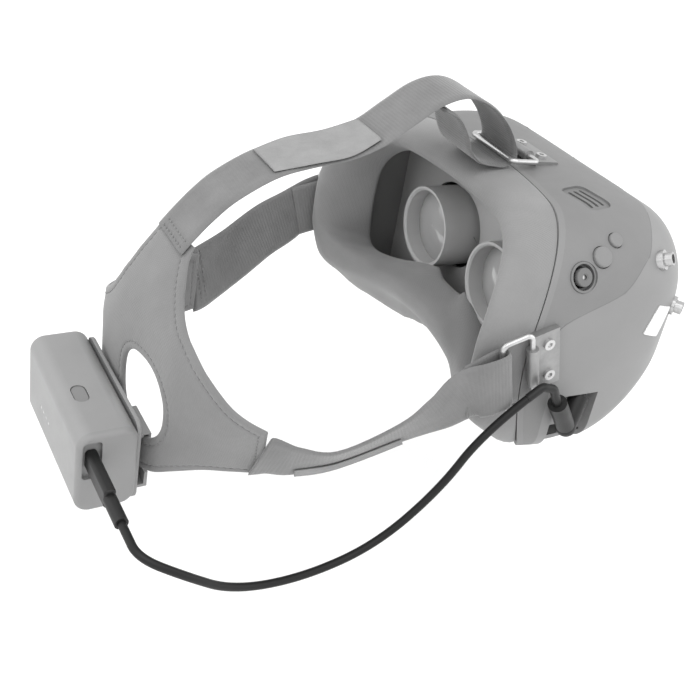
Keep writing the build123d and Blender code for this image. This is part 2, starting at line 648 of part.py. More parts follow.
with BuildPart() as fan_housing:
    with Locations((0, FAN_Y, 0)):
        Box(FAN_SIZE, FAN_DEPTH, FAN_SIZE)
    fillet(fan_housing.edges().filter_by(Axis.Y), 3)
    with BuildSketch(Plane.XZ.offset(-FAN_Y + FAN_DEPTH / 2)):
        Circle(FAN_BORE)
    extrude(amount=-FAN_DEPTH + 1.2, mode=Mode.SUBTRACT)
    with BuildSketch(Plane.XZ.offset(-FAN_Y - FAN_DEPTH / 2)):
        Circle(FAN_BORE)
        Circle(FAN_HUB_R, mode=Mode.SUBTRACT)
        with PolarLocations(0, 3):
            Rectangle(2.4, 2 * FAN_BORE, mode=Mode.SUBTRACT)
    extrude(amount=1.2, mode=Mode.SUBTRACT)
    rod((0, FAN_Y + FAN_DEPTH / 2 - 1.2, 0), (0, FAN_Y - FAN_DEPTH / 2 + 1.5, 0), FAN_AXLE_R)
fan_housing.part.label = "fan_housing"

blade_mid = (FAN_HUB_R + FAN_TIP_R) / 2 - BLADE_ROOT
with BuildPart() as fan_rotor:
    rod((0, FAN_Y + FAN_DEPTH / 2 - 1.8, 0), (0, FAN_Y - FAN_DEPTH / 2 + 0.5, 0), FAN_HUB_R)
    for i in range(FAN_BLADES):
        turn = 360 * i / FAN_BLADES
        way = radians(turn)
        blade = Plane(
            origin=(0, FAN_Y - 0.6, 0), x_dir=(cos(way), 0, sin(way)), z_dir=(-sin(way), 0, cos(way))
        )
        with Locations(blade.location * Location((blade_mid, 0, 0), (BLADE_PITCH, 0, 0))):
            Box(FAN_TIP_R - FAN_HUB_R, BLADE_W, BLADE_T)
    with BuildSketch(Plane.XZ.offset(-FAN_Y - FAN_DEPTH / 2)):
        Circle(FAN_AXLE_R + PIN_CLEAR)
    extrude(amount=FAN_DEPTH - 0.5 - 0.8, mode=Mode.SUBTRACT)
fan_rotor.part.label = "fan_rotor"

# ---------------- controls ----------------
def key(plane, radius, crown):
    """A round push key with a flange inside the shell that keeps it in its hole."""
    with BuildPart(plane) as body:
        with Locations((0, 0, KEY_PROUD - KEY_DEPTH)):
            Cylinder(radius, KEY_DEPTH, align=UPRIGHT)
        fillet(body.faces().sort_by(Axis(plane.origin, plane.z_dir))[-1].edges(), crown)
        with Locations((0, 0, KEY_PROUD - KEY_DEPTH - KEY_FLANGE_T)):
            Cylinder(radius + KEY_FLANGE, KEY_FLANGE_T, align=UPRIGHT)
    return body.part


with BuildPart() as back_button:
    add(key(small_plane, SMALL_R, 0.7))
back_button.part.label = "back_button"
with BuildPart() as shutter_button:
    add(key(large_plane, LARGE_R, 0.9))
shutter_button.part.label = "shutter_button"

with BuildPart(stick_plane) as bezel_blank:
    with Locations((0, 0, -WALL - BEZEL_LIP_LOW)):
        Cylinder(STICK_R + BEZEL_LIP, BEZEL_LIP_T, align=UPRIGHT)
        Cylinder(STICK_R - 1.8, BEZEL_LIP_T, align=UPRIGHT, mode=Mode.SUBTRACT)
    with Locations((0, 0, -WALL - 0.4)):
        Cylinder(STICK_R + 0.2, WALL + 0.5, align=UPRIGHT)
        Cylinder(STICK_R - 0.8, WALL + 0.5, align=UPRIGHT, mode=Mode.SUBTRACT)
with BuildPart() as stick_bezel:
    add(bezel_blank.part)
    add(rear_shell.part, mode=Mode.SUBTRACT)
stick_bezel.part.label = "stick_bezel"

with BuildPart(stick_plane) as base_blank:
    with Locations((0, 0, STICK_PIVOT - STICK_BASE_LOW)):
        Box(STICK_BASE_L, STICK_BASE_W, STICK_BASE_T, align=UPRIGHT)
        with GridLocations(STICK_POST_X, STICK_POST_Y, 2, 2):
            Cylinder(STICK_POST_R, STICK_POST_L, align=UPRIGHT)
    with Locations((0, 5.6, STICK_PIVOT - 2.9), (0, -5.6, STICK_PIVOT - 2.9)):
        Box(3, 1.4, 4.6, align=UPRIGHT)
    with Locations(Location((0, 0, STICK_PIVOT), (90, 0, 0))):
        Cylinder(STICK_PIN_R + PIN_CLEAR, 13, mode=Mode.SUBTRACT)
with BuildPart() as stick_base:
    add(base_blank.part)
    add(rear_shell.part, mode=Mode.SUBTRACT)
stick_base.part.label = "stick_base"

with BuildPart(stick_plane) as stick_gimbal:
    with Locations((0, 0, STICK_PIVOT)):
        Box(7.4, 7.4, 2)
        Box(4.4, 4.4, 2, mode=Mode.SUBTRACT)
    with Locations(Location((0, 5, STICK_PIVOT), (90, 0, 0)), Location((0, -5, STICK_PIVOT), (90, 0, 0))):
        Cylinder(STICK_PIN_R, 2.8)
    with Locations(Location((0, 0, STICK_PIVOT), (0, 90, 0))):
        Cylinder(STICK_PIN_R + PIN_CLEAR, 9, mode=Mode.SUBTRACT)
stick_gimbal.part.label = "stick_gimbal"

with BuildPart(stick_plane) as stick_stem:
    with Locations((0, 0, STICK_PIVOT)):
        Box(3, 3, 2.6)
    with Locations((0, 0, STICK_PIVOT + 1.2)):
        Cylinder(STICK_STEM_R, STICK_TOP - STICK_PIVOT - 2.2, align=UPRIGHT)
    with Locations(Location((0, 0, STICK_PIVOT), (0, 90, 0))):
        Cylinder(STICK_PIN_R, 7.2)
stick_stem.part.label = "stick_stem"

with BuildPart(stick_plane) as stick_cap:
    with Locations((0, 0, STICK_TOP - 2.0)):
        Cylinder(STICK_CAP_R, 2.2, align=UPRIGHT)
    with Locations((0, 0, STICK_TOP - 4.4)):
        Cylinder(STICK_STEM_R + 1.0, 2.6, align=UPRIGHT)
    with Locations((0, 0, STICK_TOP - 4.6)):
        Cylinder(
            STICK_STEM_R + PIN_CLEAR, 4.3, align=UPRIGHT, mode=Mode.SUBTRACT
        )
    fillet(stick_cap.faces().sort_by(Axis(stick_plane.origin, stick_plane.z_dir))[-1].edges(), 0.6)
    with Locations((0, 0, STICK_TOP + 1.6)):
        Sphere(2.2, mode=Mode.SUBTRACT)
stick_cap.part.label = "stick_cap"

KEY_BOARD_Z = KEY_PROUD - KEY_DEPTH - KEY_FLANGE_T - KEY_TRAVEL - KEY_BOARD_LOW
with BuildPart(deck_plane(KEY_BOARD_AT, KEY_BOARD_LEAN)) as key_board_blank:
    with Locations((0, 0, KEY_BOARD_Z)):
        Box(KEY_BOARD_L, KEY_BOARD_W, KEY_BOARD_T, align=UPRIGHT)
        with Locations(*KEY_POSTS):
            Cylinder(1.0, -KEY_BOARD_Z, align=UPRIGHT)
    with Locations((0, 0, KEY_BOARD_Z + KEY_BOARD_T)):
        with Locations(*KEY_PADS):
            Box(4, 4, 0.6, align=UPRIGHT)
with BuildPart() as key_board:
    add(key_board_blank.part)
    add(inner, mode=Mode.INTERSECT)
key_board.part.label = "key_board"

# ---------------- connectors and label ----------------
def connector(place, way):
    """Threaded antenna socket with its nut and centre pin, standing out of the shell."""
    with BuildPart(Plane(origin=place, z_dir=way)) as body:
        with Locations((0, 0, -SMA_IN)):
            Cylinder(SMA_R, SMA_L + SMA_IN, align=UPRIGHT)
        with Locations((0, 0, -SMA_IN)):
            Cylinder(SMA_NUT_R, SMA_IN - WALL - 0.9, align=UPRIGHT)
        with Locations((0, 0, SMA_NUT_Z)):
            Cylinder(SMA_NUT_R, SMA_NUT_H, align=UPRIGHT)
        with Locations((0, 0, SMA_L - SMA_MOUTH)):
            Cylinder(SMA_BORE, SMA_MOUTH, align=UPRIGHT, mode=Mode.SUBTRACT)
            Cylinder(SMA_PIN_R, SMA_MOUTH - 1, align=UPRIGHT)
    return body.part - front_shell.part


with BuildPart() as antenna_connectors:
    for place, way in sma_all:
        add(connector(place, way))
antenna_connectors.part.label = "antenna_connectors"

with BuildPart() as power_jack:
    box_between(*JACK_BOX)
    add(inner, mode=Mode.INTERSECT)
    box_between(*POCKET, mode=Mode.SUBTRACT)
    with Locations(jack_plane):
        Cylinder(JACK_BORE, DC_BORE_L + 2, mode=Mode.SUBTRACT)
power_jack.part.label = "power_jack"

with BuildPart() as rear_label:
    label_way = radians(LABEL_TURN)
    with BuildSketch(Plane(origin=LABEL, x_dir=(0, cos(label_way), sin(label_way)), z_dir=(-1, 0, 0))):
        RectangleRounded(LABEL_W, LABEL_H, 1)
    extrude(amount=12, both=True)
    add(skin_loft(SKIN, -LABEL_T), mode=Mode.INTERSECT)
    add(outer, mode=Mode.SUBTRACT)
rear_label.part.label = "rear_label"


# ---------------- tabs, screws and rings ----------------
def strap_tab(frame):
    """Metal tab: a plate shaped to the housing with a rolled knuckle for the ring."""
    with BuildPart(frame) as tab:
        with Locations((0, -(TAB_FRONT + TAB_BACK) / 2, TAB_FACE)):
            Box(TAB_W, TAB_FRONT - TAB_BACK, 12, align=HANGING)
        with Locations(Location((0, 0, 0), (0, 90, 0))):
            Cylinder(KNUCKLE_R, KNUCKLE_L)
            Cylinder(RING_WIRE + PIN_CLEAR, TAB_W + 4, mode=Mode.SUBTRACT)
        with Locations(*screw_at):
            Cylinder(SCREW_SHANK + PIN_CLEAR, 30, mode=Mode.SUBTRACT)
    return tab.part - outer


def strap_ring(frame):
    """Closed wire ring in its own frame."""
    return frame.location * wire_ring(RING_W, RING_H, RING_WIRE, RING_CORNER)


def strap_loop(frame, width):
    """End of the webbing, sewn back on itself round the ring's free bar."""
    across = Plane(origin=frame.origin, x_dir=frame.y_dir, z_dir=frame.x_dir)
    with BuildPart() as loop:
        with BuildSketch(across):
            with Locations(((LOOP_NEAR + LOOP_FAR) / 2, 0)):
                SlotOverall(LOOP_FAR - LOOP_NEAR, LOOP_GAP + 2 * WEB_T)
                SlotOverall(LOOP_FAR - LOOP_NEAR - 2 * WEB_T, LOOP_GAP, mode=Mode.SUBTRACT)
        extrude(amount=width / 2, both=True)
    return loop.part


tab_parts = [strap_tab(frame) for frame in tab_frames]
ring_parts = [strap_ring(frame) for frame in tab_frames]
with BuildPart() as right_tab:
    add(tab_parts[0])
right_tab.part.label = "right_tab"
with BuildPart() as left_tab:
    add(tab_parts[1])
left_tab.part.label = "left_tab"
with BuildPart() as top_tab:
    add(tab_parts[2])
top_tab.part.label = "top_tab"
with BuildPart() as right_ring:
    add(ring_parts[0])
right_ring.part.label = "right_ring"
with BuildPart() as left_ring:
    add(ring_parts[1])
left_ring.part.label = "left_ring"
with BuildPart() as top_ring:
    add(ring_parts[2])
top_ring.part.label = "top_ring"

with BuildPart() as tab_screws:
    for frame in tab_frames:
        for x, y in screw_at:
            with Locations(frame.location * Location((x, y, TAB_FACE))):
                Cylinder(SCREW_R, SCREW_H, align=UPRIGHT)
                Cylinder(SCREW_SHANK, SCREW_SHANK_L, align=HANGING)
            with Locations(frame.location * Location((x, y, TAB_FACE + SCREW_H))):
                Cylinder(SOCKET_R, 0.9, align=HANGING, mode=Mode.SUBTRACT)
tab_screws.part.label = "tab_screws"

# ---------------- headband ----------------
with BuildPart() as rear_panel:
    rim_a, rim_b = ribbon_edges(PANEL_PLAN, PANEL_T)
    with BuildSketch(Plane.XY.offset(-100)):
        with BuildLine():
            Spline(*rim_a)
            Line(rim_a[-1], rim_b[-1])
            Spline(*reversed(rim_b))
            Line(rim_b[0], rim_a[0])
        make_face()
    extrude(amount=150)
    with BuildSketch(Plane.XZ):
        with BuildLine():
            Spline(*PANEL_FRONT, periodic=True)
        make_face()
    extrude(amount=-200, mode=Mode.INTERSECT)
    add(ribbon(PANEL_LEG, PANEL_T, PANEL_LEG_W))
    with BuildSketch(Plane.XZ):
        with Locations(PANEL_HOLE):
            Ellipse(PANEL_HOLE_W, PANEL_HOLE_H)
    extrude(amount=-200, mode=Mode.SUBTRACT)
rear_panel.part.label = "rear_panel"

with BuildPart() as top_strap:
    add(ribbon(TOP_WEB, WEB_T, TOP_WEB_W))
    add(rear_panel.part, mode=Mode.SUBTRACT)
top_strap.part.label = "top_strap"

with BuildPart() as right_strap:
    add(side_web(RIGHT_WEB, WEB_T, 0))
    add(strap_loop(tab_frames[0], RIGHT_WEB[0][2]))
    add(rear_panel.part, mode=Mode.SUBTRACT)
right_strap.part.label = "right_strap"

with BuildPart() as left_strap:
    add(side_web(LEFT_WEB, WEB_T, 0))
    add(strap_loop(tab_frames[1], LEFT_WEB[0][2]))
    add(rear_panel.part, mode=Mode.SUBTRACT)
left_strap.part.label = "left_strap"

with BuildPart() as top_pad:
    add(ribbon(ribbon_edges(TOP_WEB, 2 * PAD_GAP)[0][TOP_PAD_FROM:TOP_PAD_TO], TAB_PAD_T, TOP_WEB_W))
    add(top_strap.part, mode=Mode.SUBTRACT)
top_pad.part.label = "top_pad"

with BuildPart() as right_pad:
    add(side_web(RIGHT_WEB[1:4], TAB_PAD_T, -PAD_GAP))
    add(right_strap.part, mode=Mode.SUBTRACT)
right_pad.part.label = "right_pad"

with BuildPart() as left_pad:
    add(side_web(LEFT_WEB[1:4], TAB_PAD_T, PAD_GAP))
    add(left_strap.part, mode=Mode.SUBTRACT)
left_pad.part.label = "left_pad"

# ---------------- battery ----------------
tilt = radians(BAT_TILT)
yaw = radians(BAT_YAW)
bat_frame = Plane(
    origin=BAT_POS,
    x_dir=(cos(tilt) * cos(yaw), cos(tilt) * sin(yaw), -sin(tilt)),
    z_dir=(sin(tilt) * cos(yaw), sin(tilt) * sin(yaw), cos(tilt)),
)
END_X = -BAT_L / 2
SPLIT_X = END_X + CAP_L


def bat_slab(x0, x1, inset):
    """A length of the battery's rounded section, in the battery's own frame."""
    with BuildPart() as slab:
        with BuildSketch(Plane.YZ.offset(x0)):
            RectangleRounded(BAT_T - 2 * inset, BAT_H - 2 * inset, BAT_R - inset)
        extrude(amount=x1 - x0)
    return slab.part


with BuildPart() as case_local:
    add(bat_slab(SPLIT_X, -END_X, 0))
    fillet(case_local.faces().sort_by(Axis.X)[-1].edges(), 3)
    add(bat_slab(SPLIT_X, -END_X - BAT_WALL, BAT_WALL), mode=Mode.SUBTRACT)
    with BuildSketch(Plane.XY.offset(BAT_H / 2)):
        with Locations((BAT_KEY_X, BAT_KEY_Y)):
            SlotOverall(BAT_KEY_L + 2 * KEY_GAP, BAT_KEY_W + 2 * KEY_GAP)
    extrude(amount=-6, mode=Mode.SUBTRACT)
    with BuildSketch(Plane.XZ.offset(-BAT_T / 2)):
        with Locations((LED_X, LED_Z)):
            with GridLocations(LED_PITCH, 0, 4, 1):
                Circle(LED_R + PIN_CLEAR)
    extrude(amount=5, mode=Mode.SUBTRACT)

with BuildPart() as cap_local:
    add(bat_slab(END_X, SPLIT_X, 0))
    fillet(cap_local.faces().sort_by(Axis.X)[0].edges(), 2.2)
    with BuildSketch(Plane.YZ.offset(END_X)):
        with Locations((USB_Y, USB_Z)):
            RectangleRounded(USB_W, USB_H, 2)
    extrude(amount=USB_D, mode=Mode.SUBTRACT)
    with BuildSketch(Plane.YZ.offset(END_X)):
        with Locations((USB_Y, USB_Z)):
            RectangleRounded(USB_SHELL_Y, USB_SHELL_Z, 1.4)
    extrude(amount=CAP_L, mode=Mode.SUBTRACT)

with BuildPart() as cells_local:
    for z in (-CELL_PITCH / 2, CELL_PITCH / 2):
        rod((CELL_X0, CELL_Y, z), (CELL_X0 + CELL_L, CELL_Y, z), CELL_R)

with BuildPart() as pcb_local:
    with Locations((2, BAT_T / 2 - BAT_WALL - 1.6, -1)):
        Box(58, 1.0, 30)
    with Locations((-12, BAT_T / 2 - BAT_WALL - 0.75, -9), (16, BAT_T / 2 - BAT_WALL - 0.75, 6)):
        Box(8, 0.7, 6)

with BuildPart() as bat_key_local:
    with BuildSketch(Plane.XY.offset(BAT_H / 2 - 0.4)):
        with Locations((BAT_KEY_X, BAT_KEY_Y)):
            SlotOverall(BAT_KEY_L, BAT_KEY_W)
    extrude(amount=-1.6)
    with BuildSketch(Plane.XY.offset(BAT_H / 2 - 2.0)):
        with Locations((BAT_KEY_X, BAT_KEY_Y)):
            SlotOverall(BAT_KEY_L - 3, BAT_KEY_W - 3)
    extrude(amount=-0.5)

with BuildPart() as leds_local:
    for i in range(4):
        x = LED_X + (i - 1.5) * LED_PITCH
        rod((x, BAT_T / 2 - 0.1, LED_Z), (x, BAT_T / 2 - BAT_WALL - 0.3, LED_Z), LED_R)

with BuildPart() as clip_local:
    with BuildSketch(Plane.XZ.offset(BAT_T / 2)):
        with Locations((0, (CLIP_LOW + CLIP_HIGH) / 2)):
            RectangleRounded(CLIP_W, CLIP_HIGH - CLIP_LOW, 5)
    extrude(amount=CLIP_T)
    fillet(clip_local.faces().sort_by(Axis.Y)[0].edges(), 0.8)
    hook_y = -BAT_T / 2 - CLIP_T
    hook_x0, hook_x1 = HOOK_X - HOOK_W / 2, HOOK_X + HOOK_W / 2
    for z, lip in ((HOOK_UPPER, -HOOK_LIP), (CLIP_LOW + HOOK_T, HOOK_LIP)):
        box_between((hook_x0, hook_y - HOOK_REACH, z - HOOK_T), (hook_x1, hook_y + 1, z))
        z0, z1 = sorted((z - HOOK_T / 2, z - HOOK_T / 2 + lip))
        box_between((hook_x0, hook_y - HOOK_REACH, z0), (hook_x1, hook_y - HOOK_REACH + HOOK_T, z1))

with BuildPart() as usb_local:
    with BuildSketch(Plane.YZ.offset(END_X + USB_D + 0.1)):
        with Locations((USB_Y, USB_Z)):
            RectangleRounded(USB_SHELL_Y - 0.1, USB_SHELL_Z - 0.1, 1.35)
            RectangleRounded(
                USB_SHELL_Y - 0.1 - 2 * USB_SHELL_T,
                USB_SHELL_Z - 0.1 - 2 * USB_SHELL_T,
                1.0,
                mode=Mode.SUBTRACT,
            )
    extrude(amount=USB_SHELL_L)

with BuildPart() as usb_plug_local:
    with BuildSketch(Plane.YZ.offset(END_X + USB_D - 0.4)):
        with Locations((USB_Y, USB_Z)):
            RectangleRounded(USB_PLUG_T, USB_PLUG_W, USB_PLUG_R)
    extrude(amount=-USB_PLUG_L)
    fillet(usb_plug_local.faces().sort_by(Axis.X)[0].edges(), 1.2)
    with BuildSketch(Plane.YZ.offset(END_X + USB_D - 0.4)):
        with Locations((USB_Y, USB_Z)):
            RectangleRounded(USB_SHELL_Y - 1.0, USB_SHELL_Z - 1.0, 0.8)
    extrude(amount=USB_SHELL_L - 1)
    rod((USB_BOOT_IN - CABLE_START, USB_Y, USB_Z), (-CABLE_START - USB_BOOT_L, USB_Y, USB_Z), USB_BOOT_R)
    with Locations(Location((-CABLE_START - 10, USB_Y, USB_Z), (0, 90, 0))):
        Cylinder(CABLE_R + BORE_GAP, 20, mode=Mode.SUBTRACT)

battery = {
    "battery_case": case_local, "battery_end_cap": cap_local, "battery_cells": cells_local,
    "battery_board": pcb_local, "battery_button": bat_key_local, "battery_leds": leds_local,
    "battery_clip": clip_local, "usb_socket": usb_local, "usb_plug": usb_plug_local,
}

# ---------------- cable and power plug ----------------
cable_line = [
    tuple(bat_frame.from_local_coords((-CABLE_START, USB_Y, USB_Z))),
    tuple(bat_frame.from_local_coords((-CABLE_TURN, USB_Y, USB_Z))),
    *CABLE,
]
cable_part, cable_radii, cable_length = tube(cable_line, CABLE_R)
print("cable bend radii", [round(r, 1) for r in cable_radii])
print("cable length", round(cable_length, 1), "volume / (section x length)",
      round(cable_part.volume / (pi * CABLE_R**2 * cable_length), 4))
with BuildPart() as cable:
    add(cable_part)
cable.part.label = "cable"

with BuildPart() as dc_plug:
    with BuildLine() as tail_path:
        FilletPolyline(*DC_TAIL, radius=DC_TAIL_BEND)
    with BuildSketch(Plane(origin=DC_TAIL[0], z_dir=Vector(*DC_TAIL[1]) - Vector(*DC_TAIL[0]))):
        Circle(DC_TAIL_R)
    sweep()
    rod(DC_TOP, DC_ELBOW, DC_TOP_R)
    rod(Vector(*DC_ELBOW) + (Vector(*DC_TOP) - Vector(*DC_ELBOW)) * 0.72, DC_ELBOW, DC_HEAD_R - 0.3)
    with Locations(DC_ELBOW):
        Sphere(DC_ELBOW_R)
    rod(DC_ELBOW, DC_MOUTH, DC_HEAD_R)
    rod(DC_MOUTH, Vector(*DC_MOUTH) + jack_way * DC_PIN_L, DC_PIN_R)
dc_plug.part.label = "dc_plug"

# ---------------- export ----------------
pieces = [
    front_shell, rear_shell, front_window, intake_grille, vent_insert, carrier_frame, face_cushion,
    eye_plate, right_barrel, left_barrel, right_lens, left_lens, right_screen, left_screen,
    right_knob, left_knob, main_board, fan_housing, fan_rotor, back_button, shutter_button,
    stick_bezel, stick_base, stick_gimbal, stick_stem, stick_cap, key_board, antenna_connectors,
    power_jack, rear_label, right_tab, left_tab, top_tab, right_ring, left_ring, top_ring,
    tab_screws, rear_panel, top_strap, right_strap, left_strap, top_pad, right_pad, left_pad,
    cable, dc_plug,
]
for piece in pieces:
    export_step(piece.part, f"parts/{piece.part.label}.step")
for name, local in battery.items():
    with BuildPart() as placed:
        add(bat_frame.location * local.part)
        if name == "battery_clip":
            add(rear_panel.part, mode=Mode.SUBTRACT)
    placed.part.label = name
    export_step(placed.part, f"parts/{name}.step")
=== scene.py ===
import json
import math

import bpy
import numpy as np
from mathutils import Matrix, Vector, geometry
from mathutils.bvhtree import BVHTree


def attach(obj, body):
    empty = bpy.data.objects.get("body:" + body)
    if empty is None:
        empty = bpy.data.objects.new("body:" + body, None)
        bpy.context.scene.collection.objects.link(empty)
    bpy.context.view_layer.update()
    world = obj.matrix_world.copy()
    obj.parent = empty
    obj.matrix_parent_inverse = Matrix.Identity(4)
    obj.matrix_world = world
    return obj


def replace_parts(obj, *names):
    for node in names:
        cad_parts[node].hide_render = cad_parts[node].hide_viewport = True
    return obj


# Video goggles with a headband, battery and power cable. Metres, +X the wearer's left,
# -Y the way the wearer looks, +Z up. The origin is the middle of the face opening.
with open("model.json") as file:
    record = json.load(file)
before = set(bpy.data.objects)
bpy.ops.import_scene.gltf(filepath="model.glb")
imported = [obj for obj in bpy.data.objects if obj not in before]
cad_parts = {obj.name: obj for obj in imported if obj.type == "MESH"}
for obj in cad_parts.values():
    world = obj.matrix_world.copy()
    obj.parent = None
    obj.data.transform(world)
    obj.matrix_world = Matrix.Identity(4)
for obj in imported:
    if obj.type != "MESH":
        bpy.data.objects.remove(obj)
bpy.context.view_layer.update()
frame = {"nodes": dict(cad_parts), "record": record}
MM = 0.001
nodes = frame["nodes"]


# ---------------- camera ----------------
CAM_AT = Vector((-0.3765, 0.2596, 0.2205))
CAM_AZ, CAM_EL, CAM_ROLL, CAM_LENS = 238.3, 31.2, 10.2, 52.8
az, el, roll = (math.radians(a) for a in (CAM_AZ, CAM_EL, CAM_ROLL))
back = Vector((math.sin(az) * math.cos(el), -math.cos(az) * math.cos(el), math.sin(el)))
right = Vector((math.cos(az), math.sin(az), 0))
up = back.cross(right)
cam_x = right * math.cos(roll) + up * math.sin(roll)
cam_y = up * math.cos(roll) - right * math.sin(roll)
cam = bpy.data.objects.new("camera", bpy.data.cameras.new("camera"))
bpy.context.collection.objects.link(cam)
cam.matrix_world = Matrix.Translation(CAM_AT) @ Matrix((cam_x, cam_y, back)).transposed().to_4x4()
cam.data.lens = CAM_LENS
cam.data.sensor_width = 36.0
cam.data.clip_start = 0.01
bpy.context.scene.camera = cam


# ---------------- materials ----------------
# Wave texture scale that puts one rib every metre
WAVE_PER_PITCH = 0.314


def new_tree(name):
    mat = bpy.data.materials.new(name)
    mat.use_nodes = True
    tree = mat.node_tree
    tree.nodes.clear()
    out = tree.nodes.new("ShaderNodeOutputMaterial")
    bsdf = tree.nodes.new("ShaderNodeBsdfPrincipled")
    tree.links.new(bsdf.outputs[0], out.inputs[0])
    return mat, tree, bsdf


def shade(level):
    """Linear grey for a grey given on the 0-255 display scale."""
    v = level / 255
    return v / 12.92 if v <= 0.04045 else ((v + 0.055) / 1.055) ** 2.4


def tint(level):
    g = shade(level)
    return (g, g, g, 1)


def add_noise(tree, coords, scale, detail=4.0, rough=0.6):
    tex = tree.nodes.new("ShaderNodeTexNoise")
    tex.inputs["Scale"].default_value = scale
    tex.inputs["Detail"].default_value = detail
    tex.inputs["Roughness"].default_value = rough
    tree.links.new(coords, tex.inputs["Vector"])
    return tex


def add_bump(tree, bsdf, heights, strength, depth):
    """Stacks height sources into one normal."""
    last = None
    for source, share in heights:
        bump = tree.nodes.new("ShaderNodeBump")
        bump.inputs["Strength"].default_value = strength * share
        bump.inputs["Distance"].default_value = depth
        tree.links.new(source, bump.inputs["Height"])
        if last is not None:
            tree.links.new(last.outputs[0], bump.inputs["Normal"])
        last = bump
    tree.links.new(last.outputs[0], bsdf.inputs["Normal"])


def worn_colour(tree, bsdf, coords, low, high, scale):
    """Slow colour change over the surface, between two close greys."""
    tex = add_noise(tree, coords, scale, 5.0)
    ramp = tree.nodes.new("ShaderNodeValToRGB")
    ramp.color_ramp.elements[0].position = 0.3
    ramp.color_ramp.elements[0].color = low
    ramp.color_ramp.elements[1].position = 0.7
    ramp.color_ramp.elements[1].color = high
    tree.links.new(tex.outputs["Fac"], ramp.inputs["Fac"])
    tree.links.new(ramp.outputs["Color"], bsdf.inputs["Base Color"])


def worn_roughness(tree, bsdf, coords, low, high, scale):
    tex = add_noise(tree, coords, scale, 6.0)
    span = tree.nodes.new("ShaderNodeMapRange")
    span.inputs["To Min"].default_value = low
    span.inputs["To Max"].default_value = high
    tree.links.new(tex.outputs["Fac"], span.inputs["Value"])
    tree.links.new(span.outputs["Result"], bsdf.inputs["Roughness"])


def plastic(name, level, rough, grain, bump, spread, spec):
    """Moulded plastic with a spark-eroded grain."""
    mat, tree, bsdf = new_tree(name)
    coords = tree.nodes.new("ShaderNodeTexCoord").outputs["Object"]
    worn_colour(tree, bsdf, coords, tint(level - spread), tint(level + spread), 26.0)
    worn_roughness(tree, bsdf, coords, rough - 0.07, rough + 0.07, 120.0)
    bsdf.inputs["Specular IOR Level"].default_value = spec
    fine = add_noise(tree, coords, grain, 3.0)
    broad = add_noise(tree, coords, grain / 9, 2.0)
    add_bump(tree, bsdf, [(fine.outputs["Fac"], 1.0), (broad.outputs["Fac"], 0.35)], bump, 0.0002)
    return mat


def metal(name, level, rough, brushed=900.0):
    mat, tree, bsdf = new_tree(name)
    coords = tree.nodes.new("ShaderNodeTexCoord").outputs["Object"]
    bsdf.inputs["Metallic"].default_value = 0.85
    worn_colour(tree, bsdf, coords, tint(level - 8), tint(level + 8), 150.0)
    worn_roughness(tree, bsdf, coords, rough - 0.1, rough + 0.1, 400.0)
    fine = add_noise(tree, coords, brushed, 4.0)
    add_bump(tree, bsdf, [(fine.outputs["Fac"], 1.0)], 0.08, 0.0001)
    return mat


def foam_cover(name, level, pitch, bump, spread, sheen=0.25):
    """Knitted cover over foam: two crossing fine ribs plus fuzz, in object space."""
    mat, tree, bsdf = new_tree(name)
    coords = tree.nodes.new("ShaderNodeTexCoord").outputs["Object"]
    worn_colour(tree, bsdf, coords, tint(level - spread), tint(level + spread), 38.0)
    worn_roughness(tree, bsdf, coords, 0.82, 0.95, 300.0)
    bsdf.inputs["Specular IOR Level"].default_value = 0.2
    bsdf.inputs["Sheen Weight"].default_value = sheen
    bsdf.inputs["Sheen Roughness"].default_value = 0.5
    heights = []
    for turn in ((0.3, 0.0, 0.8), (0.2, 0.6, -0.7)):
        mapping = tree.nodes.new("ShaderNodeMapping")
        mapping.inputs["Rotation"].default_value = turn
        tree.links.new(coords, mapping.inputs["Vector"])
        wave = tree.nodes.new("ShaderNodeTexWave")
        wave.inputs["Scale"].default_value = WAVE_PER_PITCH / pitch
        wave.inputs["Distortion"].default_value = 1.2
        wave.inputs["Detail"].default_value = 2.0
        wave.inputs["Detail Scale"].default_value = 2.0
        tree.links.new(mapping.outputs[0], wave.inputs["Vector"])
        heights.append((wave.outputs["Fac"], 0.6))
    heights.append((add_noise(tree, coords, 1800.0, 3.0).outputs["Fac"], 0.9))
    add_bump(tree, bsdf, heights, bump, 0.00025)
    return mat


def webbing(name, level, bump, rib=0.0016, yarn=0.0009, spread=6, sheen=0.3):
    """Woven webbing: ribs across and yarns along, laid out on the strap's own metres."""
    mat, tree, bsdf = new_tree(name)
    texco = tree.nodes.new("ShaderNodeTexCoord")
    coords = texco.outputs["Object"]
    uv = texco.outputs["UV"]
    worn_colour(tree, bsdf, coords, tint(level - spread), tint(level + spread), 60.0)
    worn_roughness(tree, bsdf, coords, 0.72, 0.9, 500.0)
    bsdf.inputs["Specular IOR Level"].default_value = 0.25
    bsdf.inputs["Sheen Weight"].default_value = sheen
    bsdf.inputs["Sheen Roughness"].default_value = 0.4
    heights = []
    for direction, pitch, share in (("Y", rib, 1.0), ("X", yarn, 0.6)):
        wave = tree.nodes.new("ShaderNodeTexWave")
        wave.bands_direction = direction
        wave.inputs["Scale"].default_value = WAVE_PER_PITCH / pitch
        wave.inputs["Distortion"].default_value = 0.5
        wave.inputs["Detail"].default_value = 1.0
        tree.links.new(uv, wave.inputs["Vector"])
        heights.append((wave.outputs["Fac"], share))
    heights.append((add_noise(tree, coords, 2200.0, 3.0).outputs["Fac"], 0.5))
    add_bump(tree, bsdf, heights, bump, 0.0003)
    return mat


